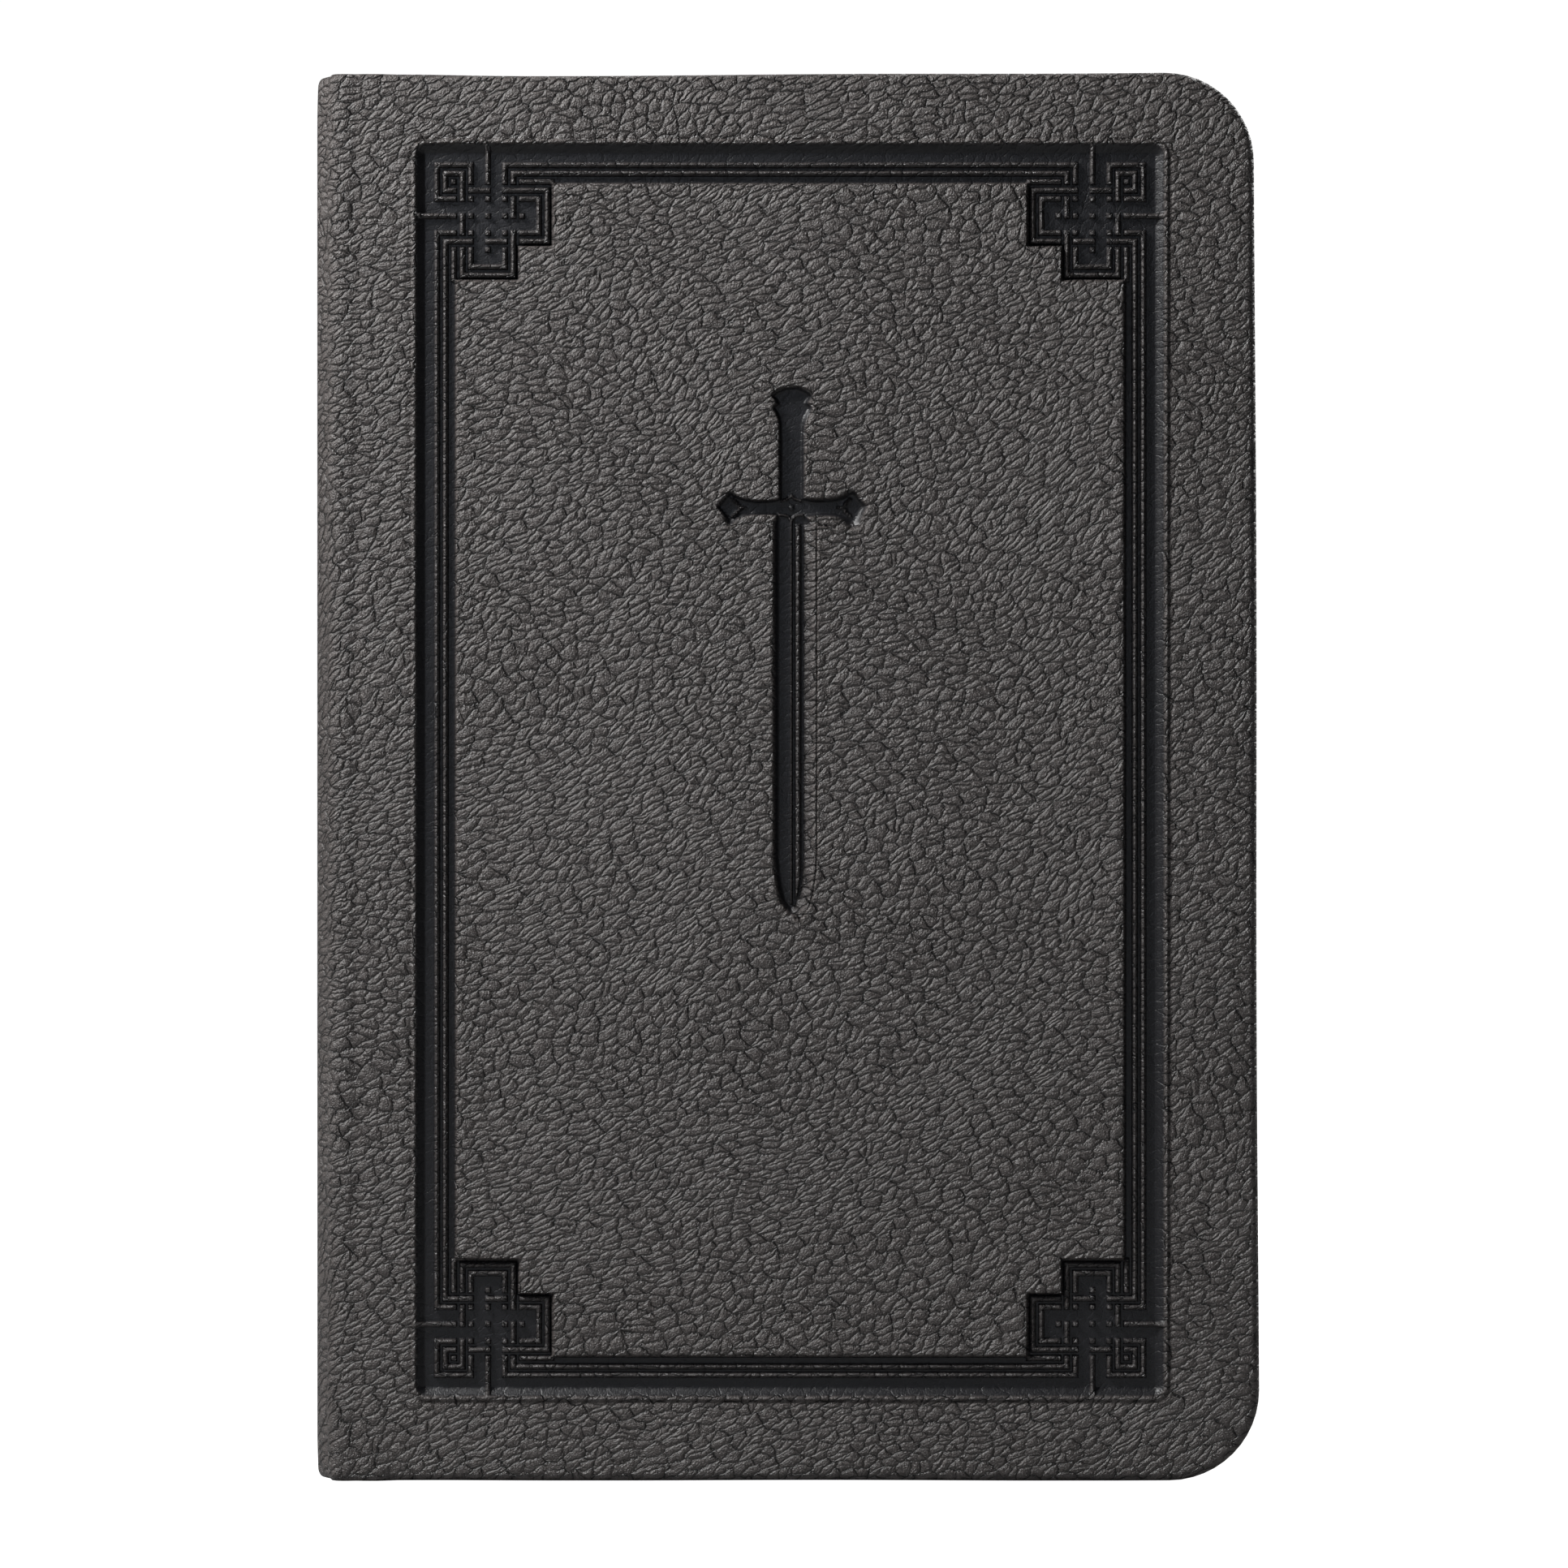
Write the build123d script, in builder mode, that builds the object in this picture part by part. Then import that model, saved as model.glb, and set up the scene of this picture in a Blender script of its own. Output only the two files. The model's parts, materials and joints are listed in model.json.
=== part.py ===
"""A small soft-cover Bible, standing upright on its tail with the front cover facing -Y.

Every piece of the binding is its own solid: folded sections of thin paper sewn on tapes, lined with
mull and card, with headbands, endpapers, boards, padding and an embossed leather case.
X runs from the spine (-) to the fore-edge (+), Y from the front cover (-) to the back cover (+),
and Z from the tail (0) to the head. Millimetres.
"""

import os
from math import asin, degrees, sqrt

from build123d import *

# ---------------------------------------------------------------- overall
COVER_HEIGHT = 171.5
COVER_WIDTH = 114.4  # spine crown to fore-edge
COVER_CORNER = 11.0  # rounded fore-edge corners
SQUARE = 3.0  # how far the cover stands past the pages

# ---------------------------------------------------------------- pages
SECTIONS_PER_HALF = 12
SECTION_THICKNESS = 0.85
FOLD_RADIUS = 0.38  # rounded fold at the back of a section
CENTRE_LEAVES = 3
LEAF_THICKNESS = 0.15
FLYLEAF_THICKNESS = 0.25
AIR = 0.05  # slip between neighbours on different bodies

# ---------------------------------------------------------------- cover layers, outside to inside
SKIN = 1.1
PADDING = 0.4
BOARD = 0.8
TURN_IN = 0.4
TURN_IN_WIDTH = 12.0
PASTEDOWN = 0.15
TURN_IN_CORNER = 2.0
PASTEDOWN_MARGIN = 4.5

# ---------------------------------------------------------------- spine layers, inside to outside
SPINE_BULGE = 1.6  # how far the round of the back stands out past its shoulders
TAPE = 0.25
MULL = 0.25
SPINE_CARD = 0.4
CORNER_FILLET = 2.2  # leather rolling from the spine on to the joint
JOINT_SETBACK = 5.2  # spine crown to the line where the joint bends off the back
JOINT_WIDTH = 4.0  # soft strip between the back and the stiffened cover
JOINT_LINING = 0.4  # mull flange and endpaper glued behind the strip
HINGE_GAP = 0.3
FLYLEAF_SETBACK = 0.5  # flyleaf's own fold, past the cover's

TAPE_WIDTH = 9.0
TAPE_PITCH = 48.0
TAPE_COUNT = 3
MULL_MARGIN = 9.0  # mull stops this far from the head and tail of the pages
THREAD_RADIUS = 0.1
THREAD_BESIDE_TAPE = 1.5
KETTLE_FROM_END = 12.0
BAND_RADIUS = 0.85
BAND_TONGUE = 6.0
BAND_FLAT_MARGIN = 1.0  # bands and linings stop this far inside the shoulders

# ---------------------------------------------------------------- blind embossing of the front cover
EMBOSS_DEPTH = 0.75
FRAME_SIDE_MARGIN = 14.15  # cover's edge to the frame's outer ridge
FRAME_END_MARGIN = 12.0
FRAME_X, FRAME_RISE = 0.3, 0.9  # frame's centre from the cover's centre
KNOT_UNIT = 1.016  # pitch of the corner ornament's grid
CHANNEL_OUTER = 2.45  # in knot units, outside the ridge
CHANNEL_INNER = 2.2
LOBE_FROM, LOBE_TO, LOBE_REACH = 2.4, 9.6, 13.5
SWORD_X = 0.45
GUARD_RISE = 32.85  # cross-guard above the cover's centre
POMMEL_RISE = 47.35
TIP_DROP = 15.9  # point below the cover's centre
SWORD_RECESS = 1.3  # sunk border round the sword
BLADE_HALF, BLADE_TAPER = 1.5, 7.0
GRIP_HALF, POMMEL_HALF = 1.2, 2.1
GUARD_HALF_LENGTH, GUARD_HALF_THICK, GUARD_FLARE = 8.5, 0.5, 1.4

# ---------------------------------------------------------------- worked out
MID_Z = COVER_HEIGHT / 2
CROWN_X = -COVER_WIDTH / 2
EDGE_X = COVER_WIDTH / 2
JOINT_X = CROWN_X + JOINT_SETBACK
HINGE_X = JOINT_X + JOINT_WIDTH
FLYLEAF_X = HINGE_X + FLYLEAF_SETBACK
FRAME_HALF_WIDTH = COVER_WIDTH / 2 - FRAME_SIDE_MARGIN
FRAME_HALF_HEIGHT = COVER_HEIGHT / 2 - FRAME_END_MARGIN
PAGE_HEIGHT = COVER_HEIGHT - 2 * SQUARE
CENTRE_HALF = (CENTRE_LEAVES * LEAF_THICKNESS + (CENTRE_LEAVES + 1) * AIR) / 2
PAGES_Y = CENTRE_HALF + SECTIONS_PER_HALF * SECTION_THICKNESS
FLYLEAF_Y = PAGES_Y + AIR
COVER_IN_Y = FLYLEAF_Y + FLYLEAF_THICKNESS + AIR
COVER_OUT_Y = COVER_IN_Y + PASTEDOWN + TURN_IN + BOARD + PADDING + SKIN

LININGS = TAPE + MULL + SPINE_CARD
PAGES_CROWN_X = CROWN_X + SKIN + LININGS
PAGES_ROUND = (PAGES_Y**2 + SPINE_BULGE**2) / (2 * SPINE_BULGE)
ROUND_X = PAGES_CROWN_X + PAGES_ROUND  # axis of the rounded back
ROUND_AXIS = Axis((ROUND_X, 0, 0), (0, 0, 1))
SHOULDER_X = PAGES_CROWN_X + SPINE_BULGE
PAGE_LENGTH = EDGE_X - SQUARE - SHOULDER_X
PAGE_CORNER = COVER_CORNER - SQUARE
LINING_ARC = degrees(asin((PAGES_Y - BAND_FLAT_MARGIN) / PAGES_ROUND))

FRONT, REAR = -1, 1  # the side of the middle plane, as the sign of Y


def face_plane(side, depth):
    """A plane facing outward on one side, at a distance from the middle, centred on the height."""
    return Plane(origin=(0, side * depth, MID_Z), x_dir=(1, 0, 0), z_dir=(0, side, 0))


def round_x(radius, y):
    """X of a circle about the back's axis at a given Y."""
    return ROUND_X - sqrt(radius**2 - y**2)


def cover_outline(inset, start_x):
    """Cover outline taken in by inset, from start_x to the fore-edge, with two rounded corners."""
    width = EDGE_X - inset - start_x
    height = COVER_HEIGHT - 2 * inset
    with Locations(((start_x + EDGE_X - inset) / 2, 0)):
        outline = Rectangle(width, height)
    fillet(outline.vertices().group_by(Axis.X)[-1], max(COVER_CORNER - inset, TURN_IN_CORNER))


def page_outline(start_x, end_x):
    """Leaf outline between two X places, with two rounded fore-edge corners."""
    with Locations(((start_x + end_x) / 2, 0)):
        outline = Rectangle(end_x - start_x, PAGE_HEIGHT)
    fillet(outline.vertices().group_by(Axis.X)[-1], PAGE_CORNER)


def frame_rectangle(grow, mode=Mode.ADD):
    """A rectangle following the embossed frame, grown outward from its outer ridge by grow units."""
    step = grow * KNOT_UNIT
    with Locations((FRAME_X, FRAME_RISE)):
        Rectangle(2 * (FRAME_HALF_WIDTH + step), 2 * (FRAME_HALF_HEIGHT + step), mode=mode)


def corner_lobes():
    """The two lobes of the knot that reach inside the frame at each corner."""
    reach = (CHANNEL_INNER + LOBE_REACH) / 2 * KNOT_UNIT
    beside = (LOBE_FROM + LOBE_TO) / 2 * KNOT_UNIT
    length = (LOBE_REACH - CHANNEL_INNER) * KNOT_UNIT
    width = (LOBE_TO - LOBE_FROM) * KNOT_UNIT
    for sx in (-1, 1):
        for sy in (-1, 1):
            x0 = FRAME_X + sx * FRAME_HALF_WIDTH
            y0 = FRAME_RISE + sy * FRAME_HALF_HEIGHT
            with Locations((x0 - sx * reach, y0 - sy * beside)):
                Rectangle(length, width)
            with Locations((x0 - sx * beside, y0 - sy * reach)):
                Rectangle(width, length)


def sword():
    """A plain straight sword, point down, on the cover's face."""
    guard_side = GUARD_HALF_LENGTH - GUARD_FLARE
    waist = guard_side / 2
    neck = POMMEL_RISE - 2 * POMMEL_HALF
    blade = [
        (-BLADE_HALF, GUARD_RISE),
        (-BLADE_HALF, BLADE_TAPER - TIP_DROP),
        (0, -TIP_DROP),
        (BLADE_HALF, BLADE_TAPER - TIP_DROP),
        (BLADE_HALF, GUARD_RISE),
    ]
    grip = [
        (-GRIP_HALF, GUARD_RISE),
        (-GRIP_HALF, neck),
        (-POMMEL_HALF, neck + POMMEL_HALF),
        (0, POMMEL_RISE),
        (POMMEL_HALF, neck + POMMEL_HALF),
        (GRIP_HALF, neck),
        (GRIP_HALF, GUARD_RISE),
    ]
    guard = [
        (-GUARD_HALF_LENGTH, 0),
        (-guard_side, GUARD_FLARE),
        (-waist, GUARD_HALF_THICK),
        (waist, GUARD_HALF_THICK),
        (guard_side, GUARD_FLARE),
        (GUARD_HALF_LENGTH, 0),
        (guard_side, -GUARD_FLARE),
        (waist, -GUARD_HALF_THICK),
        (-waist, -GUARD_HALF_THICK),
        (-guard_side, -GUARD_FLARE),
    ]
    with Locations((SWORD_X, 0)):
        Polygon(*blade, align=None)
        Polygon(*grip, align=None)
    with Locations((SWORD_X, GUARD_RISE)):
        Polygon(*guard, align=None)


def write(builder, name):
    """Labels a finished sub-part and writes its STEP file."""
    builder.part.label = name
    export_step(builder.part, f"parts/{name}.step")


def cover_skin(side, name, embossed):
    """Leather of one cover: outer sheet, wrapped edges and the turn-in glued inside."""
    start = HINGE_X + HINGE_GAP / 2
    wrap = COVER_OUT_Y - (COVER_IN_Y + PASTEDOWN)
    with BuildPart() as skin:
        with BuildSketch(face_plane(side, COVER_OUT_Y)):
            cover_outline(0, start)
        extrude(amount=-wrap)
        with BuildSketch(face_plane(side, COVER_OUT_Y - SKIN)):
            cover_outline(SKIN, start)
        extrude(amount=-(PADDING + BOARD), mode=Mode.SUBTRACT)
        with BuildSketch(face_plane(side, COVER_IN_Y + PASTEDOWN)):
            cover_outline(TURN_IN_WIDTH, start)
        extrude(amount=TURN_IN, mode=Mode.SUBTRACT)
        if embossed:
            with BuildSketch(face_plane(side, COVER_OUT_Y)):
                frame_rectangle(CHANNEL_OUTER)
                frame_rectangle(-CHANNEL_INNER, Mode.SUBTRACT)
                corner_lobes()
            extrude(amount=-EMBOSS_DEPTH, mode=Mode.SUBTRACT)
            with BuildSketch(face_plane(side, COVER_OUT_Y)):
                sword()
                offset(amount=SWORD_RECESS, kind=Kind.INTERSECTION)
            extrude(amount=-EMBOSS_DEPTH, mode=Mode.SUBTRACT)
    write(skin, name)


def cover_layer(side, name, depth, thickness, inset):
    """One flat layer of a cover, its outer face at depth from the middle."""
    with BuildPart() as layer:
        with BuildSketch(face_plane(side, depth)):
            cover_outline(inset, HINGE_X + HINGE_GAP)
        extrude(amount=-thickness)
    write(layer, name)


def cover(side, word, embossed):
    """All five pieces of one cover."""
    cover_skin(side, f"{word}_cover_skin", embossed)
    depth = COVER_OUT_Y - SKIN
    cover_layer(side, f"{word}_padding", depth, PADDING, SKIN)
    depth -= PADDING
    cover_layer(side, f"{word}_board", depth, BOARD, SKIN)
    depth -= BOARD
    cover_layer(side, f"{word}_infill", depth, TURN_IN, TURN_IN_WIDTH)
    depth -= TURN_IN
    cover_layer(side, f"{word}_pastedown", depth, PASTEDOWN, PASTEDOWN_MARGIN)


def section(side, number, index):
    """One folded section of leaves; index counts outward from the middle of the book."""
    inner = CENTRE_HALF + index * SECTION_THICKNESS
    outer = inner + SECTION_THICKNESS
    back_x = round_x(PAGES_ROUND, outer)
    with BuildPart() as leaves:
        with BuildSketch(face_plane(side, inner)):
            page_outline(back_x, back_x + PAGE_LENGTH)
        extrude(amount=SECTION_THICKNESS)
        fold = leaves.faces().sort_by(Axis.X)[0].edges().filter_by(Axis.Z)
        fillet(fold, FOLD_RADIUS)
    write(leaves, f"section_{number:02d}")


def centre_leaf(number):
    """A loose leaf of the middle opening, numbered from the back half."""
    top = CENTRE_HALF - AIR - (number - 1) * (LEAF_THICKNESS + AIR)
    with BuildPart() as leaf:
        with BuildSketch(face_plane(REAR, top)):
            page_outline(PAGES_CROWN_X + AIR, PAGES_CROWN_X + PAGE_LENGTH)
        extrude(amount=-LEAF_THICKNESS)
    write(leaf, f"centre_leaf_{number}")


def flyleaf(side, word):
    """Free endpaper, and the tipped strip that holds it to the pages."""
    with BuildPart() as leaf:
        with BuildSketch(face_plane(side, FLYLEAF_Y)):
            page_outline(FLYLEAF_X, SHOULDER_X + PAGE_LENGTH)
        extrude(amount=FLYLEAF_THICKNESS)
    write(leaf, f"{word}_flyleaf")
    guard_end = FLYLEAF_X - HINGE_GAP
    with BuildPart() as guard:
        with BuildSketch(face_plane(side, PAGES_Y)):
            with Locations(((SHOULDER_X + guard_end) / 2, 0)):
                Rectangle(guard_end - SHOULDER_X, PAGE_HEIGHT)
        extrude(amount=FLYLEAF_THICKNESS)
    write(guard, f"{word}_flyleaf_guard")


def joint(side, word):
    """The leather strip that bends between the back and the cover, and the lining glued behind it."""
    strip_height = COVER_HEIGHT - 2 * SKIN
    layers = (
        (f"{word}_joint_skin", COVER_OUT_Y, SKIN, COVER_HEIGHT),
        (f"{word}_joint_lining", COVER_OUT_Y - SKIN, JOINT_LINING, strip_height),
    )
    for name, depth, thickness, height in layers:
        with BuildPart() as strip:
            with BuildSketch(face_plane(side, depth)):
                with Locations(((JOINT_X + HINGE_X) / 2, 0)):
                    Rectangle(JOINT_WIDTH - HINGE_GAP, height)
            extrude(amount=-thickness)
        write(strip, name)


def lining_section(inner, thickness, low, high):
    """Cross-section of a spine lining between two heights, inner measured from the pages' round."""
    x_out = ROUND_X - PAGES_ROUND - inner - thickness
    with Locations((x_out + thickness / 2, (low + high) / 2)):
        Rectangle(thickness, high - low)


def sweep_half(side):
    """Turns the pending section about the back's axis, from the middle plane to one shoulder."""
    revolve(axis=ROUND_AXIS, revolution_arc=-side * LINING_ARC)


def trim_middle():
    """Takes a spine piece back from the middle plane, so that the halves open freely."""
    with Locations((0, 0, MID_Z)):
        Box(2 * COVER_WIDTH, 2 * AIR, COVER_HEIGHT, mode=Mode.SUBTRACT)


def spine_layer(side, name, inner, thickness, spans):
    """A lining of the spine's half: one solid for each span of height."""
    with BuildPart() as lining:
        with BuildSketch(Plane.XZ):
            for low, high in spans:
                lining_section(inner, thickness, low, high)
        sweep_half(side)
        trim_middle()
    write(lining, name)


def sewing_thread(side, name):
    """Threads that run over the folds: one each side of a tape, and a kettle stitch near each end."""
    radius = PAGES_ROUND + TAPE / 2
    first = MID_Z - TAPE_PITCH * (TAPE_COUNT - 1) / 2
    beside = TAPE_WIDTH / 2 + THREAD_BESIDE_TAPE
    heights = [first + n * TAPE_PITCH + s * beside for n in range(TAPE_COUNT) for s in (-1, 1)]
    heights += [SQUARE + KETTLE_FROM_END, COVER_HEIGHT - SQUARE - KETTLE_FROM_END]
    with BuildPart() as thread:
        with BuildSketch(Plane.XZ):
            with Locations([(ROUND_X - radius, height) for height in heights]):
                Circle(THREAD_RADIUS)
        sweep_half(side)
        trim_middle()
    write(thread, name)


def end_band(side, name, page_end, outward):
    """Headband bead on the ends of the folds, with the cloth tongue glued down the back."""
    bead_z = page_end + outward * BAND_RADIUS
    bead_x = ROUND_X - PAGES_ROUND + BAND_RADIUS - TAPE
    tongue_low, tongue_high = sorted((bead_z, page_end - outward * BAND_TONGUE))
    with BuildPart() as band:
        with BuildSketch(Plane.XZ):
            with Locations((bead_x, bead_z)):
                Circle(BAND_RADIUS)
            lining_section(0, TAPE, tongue_low, tongue_high)
        sweep_half(side)
        trim_middle()
    write(band, name)


def spine_skin(side, name):
    """Half of the leather spine, rounding over the shoulder to the joint, with a cap at each end."""
    outer = PAGES_ROUND + LININGS + SKIN
    inner = PAGES_ROUND + LININGS
    inside_y = COVER_OUT_Y - SKIN
    end_x = JOINT_X - HINGE_GAP / 2
    crown_out = (round_x(outer, AIR), side * AIR)
    crown_in = (round_x(inner, AIR), side * AIR)
    corner_out = (round_x(outer, COVER_OUT_Y), side * COVER_OUT_Y)
    corner_in = (round_x(inner, inside_y), side * inside_y)
    half_out = (round_x(outer, COVER_OUT_Y / 2), side * COVER_OUT_Y / 2)
    half_in = (round_x(inner, inside_y / 2), side * inside_y / 2)
    with BuildPart() as skin:
        with BuildSketch(Plane.XY):
            with BuildLine():
                ThreePointArc(crown_out, half_out, corner_out)
                Polyline(corner_out, (end_x, side * COVER_OUT_Y), (end_x, side * inside_y), corner_in)
                ThreePointArc(corner_in, half_in, crown_in)
                Line(crown_in, crown_out)
            make_face()
        extrude(amount=COVER_HEIGHT)
        rolled = skin.edges().filter_by(Axis.Z)
        outside = rolled.sort_by_distance((*corner_out, MID_Z))[0]
        inside = rolled.sort_by_distance((*corner_in, MID_Z))[0]
        fillet(outside, CORNER_FILLET)
        fillet(inside, CORNER_FILLET - SKIN)
        with BuildSketch(Plane.XZ):
            lining_section(TAPE + MULL, SPINE_CARD, 0, SKIN)
            lining_section(TAPE + MULL, SPINE_CARD, COVER_HEIGHT - SKIN, COVER_HEIGHT)
        sweep_half(side)
        trim_middle()
    write(skin, name)


def spine(side, word):
    """Everything that lines, sews and covers one half of the back."""
    page_low, page_high = SQUARE, COVER_HEIGHT - SQUARE
    first = MID_Z - TAPE_PITCH * (TAPE_COUNT - 1) / 2
    tapes = [
        (first + n * TAPE_PITCH - TAPE_WIDTH / 2, first + n * TAPE_PITCH + TAPE_WIDTH / 2)
        for n in range(TAPE_COUNT)
    ]
    spine_layer(side, f"sewing_tapes_{word}", 0, TAPE, tapes)
    sewing_thread(side, f"sewing_thread_{word}")
    mull_span = [(page_low + MULL_MARGIN, page_high - MULL_MARGIN)]
    spine_layer(side, f"spine_mull_{word}", TAPE, MULL, mull_span)
    card_span = [(SKIN, COVER_HEIGHT - SKIN)]
    spine_layer(side, f"spine_card_{word}", TAPE + MULL, SPINE_CARD, card_span)
    end_band(side, f"head_band_{word}", page_high, 1)
    end_band(side, f"tail_band_{word}", page_low, -1)
    spine_skin(side, f"spine_skin_{word}")


os.makedirs("parts", exist_ok=True)
for index in range(SECTIONS_PER_HALF):
    section(FRONT, SECTIONS_PER_HALF - index, index)
    section(REAR, SECTIONS_PER_HALF + 1 + index, index)
for number in range(1, CENTRE_LEAVES + 1):
    centre_leaf(number)
flyleaf(FRONT, "front")
flyleaf(REAR, "back")
joint(FRONT, "front")
joint(REAR, "back")
cover(FRONT, "front", embossed=True)
cover(REAR, "back", embossed=False)
spine(FRONT, "front")
spine(REAR, "rear")
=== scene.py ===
"""A small soft-cover Bible with a knotwork frame and a sword pressed into its cover, dressed for the camera.

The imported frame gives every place. Sizes in this file are millimetres, and meshes are made in metres.
"""

import json
import logging
import math
from dataclasses import dataclass, field
from enum import Enum
from typing import Any, Sequence

import bmesh
import bpy
import numpy as np
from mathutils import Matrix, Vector


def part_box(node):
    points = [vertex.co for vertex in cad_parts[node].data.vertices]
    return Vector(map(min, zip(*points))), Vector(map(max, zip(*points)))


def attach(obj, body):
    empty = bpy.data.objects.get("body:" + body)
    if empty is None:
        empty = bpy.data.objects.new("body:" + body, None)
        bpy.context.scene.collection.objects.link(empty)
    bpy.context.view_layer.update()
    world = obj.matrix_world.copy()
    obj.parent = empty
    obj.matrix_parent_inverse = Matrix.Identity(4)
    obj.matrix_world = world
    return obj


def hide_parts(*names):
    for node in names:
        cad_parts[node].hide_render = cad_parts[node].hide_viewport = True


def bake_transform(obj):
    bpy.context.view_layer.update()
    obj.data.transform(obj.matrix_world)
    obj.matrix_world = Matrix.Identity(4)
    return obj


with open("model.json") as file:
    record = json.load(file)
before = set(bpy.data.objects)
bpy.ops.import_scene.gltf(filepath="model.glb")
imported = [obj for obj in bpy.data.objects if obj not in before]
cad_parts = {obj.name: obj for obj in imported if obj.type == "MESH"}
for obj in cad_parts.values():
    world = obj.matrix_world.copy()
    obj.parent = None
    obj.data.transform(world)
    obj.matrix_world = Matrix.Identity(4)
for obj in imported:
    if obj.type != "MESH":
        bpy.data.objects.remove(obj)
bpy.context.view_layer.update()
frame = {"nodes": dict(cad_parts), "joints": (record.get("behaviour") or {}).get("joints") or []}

MM = 0.001
SHARP_EDGE = math.radians(50)
LOG = logging.getLogger("bible")

Array = np.ndarray
Polyline = Sequence[tuple[float, float]]


class Side(Enum):
    """The side of the book's middle plane, as the sign of Y."""

    FRONT = -1
    BACK = 1

    @property
    def word(self) -> str:
        """The word that the pieces of this side's cover start with."""
        return self.name.lower()

    @property
    def half(self) -> str:
        """The body that this side's pages ride on."""
        return "front_half" if self is Side.FRONT else "rear_half"


def corners(node: str) -> tuple[Array, Array]:
    """Gives a CAD node's lowest and highest corner in millimetres."""
    low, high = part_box(node)
    return np.array(low) / MM, np.array(high) / MM


def joint_place(name: str) -> Array:
    """Gives the place of a joint's axis in millimetres."""
    found = next(joint for joint in frame["joints"] if joint["name"] == name)
    return np.array(found["pos_m"]) / MM


def smooth(values: Array) -> Array:
    """Eases values from 0 to 1, flat at both ends."""
    t = np.clip(values, 0, 1)
    return t * t * (3 - 2 * t)


def linear(colour: str) -> tuple[float, float, float, float]:
    """Turns an sRGB hex colour into a linear one.

    Args:
        colour: six hex digits.

    Returns:
        Red, green, blue and an alpha of one.
    """
    parts = [int(colour[k : k + 2], 16) / 255 for k in (0, 2, 4)]
    red, green, blue = (c / 12.92 if c <= 0.04045 else ((c + 0.055) / 1.055) ** 2.4 for c in parts)
    return red, green, blue, 1.0


# ---------------------------------------------------------------- meshes


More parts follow.
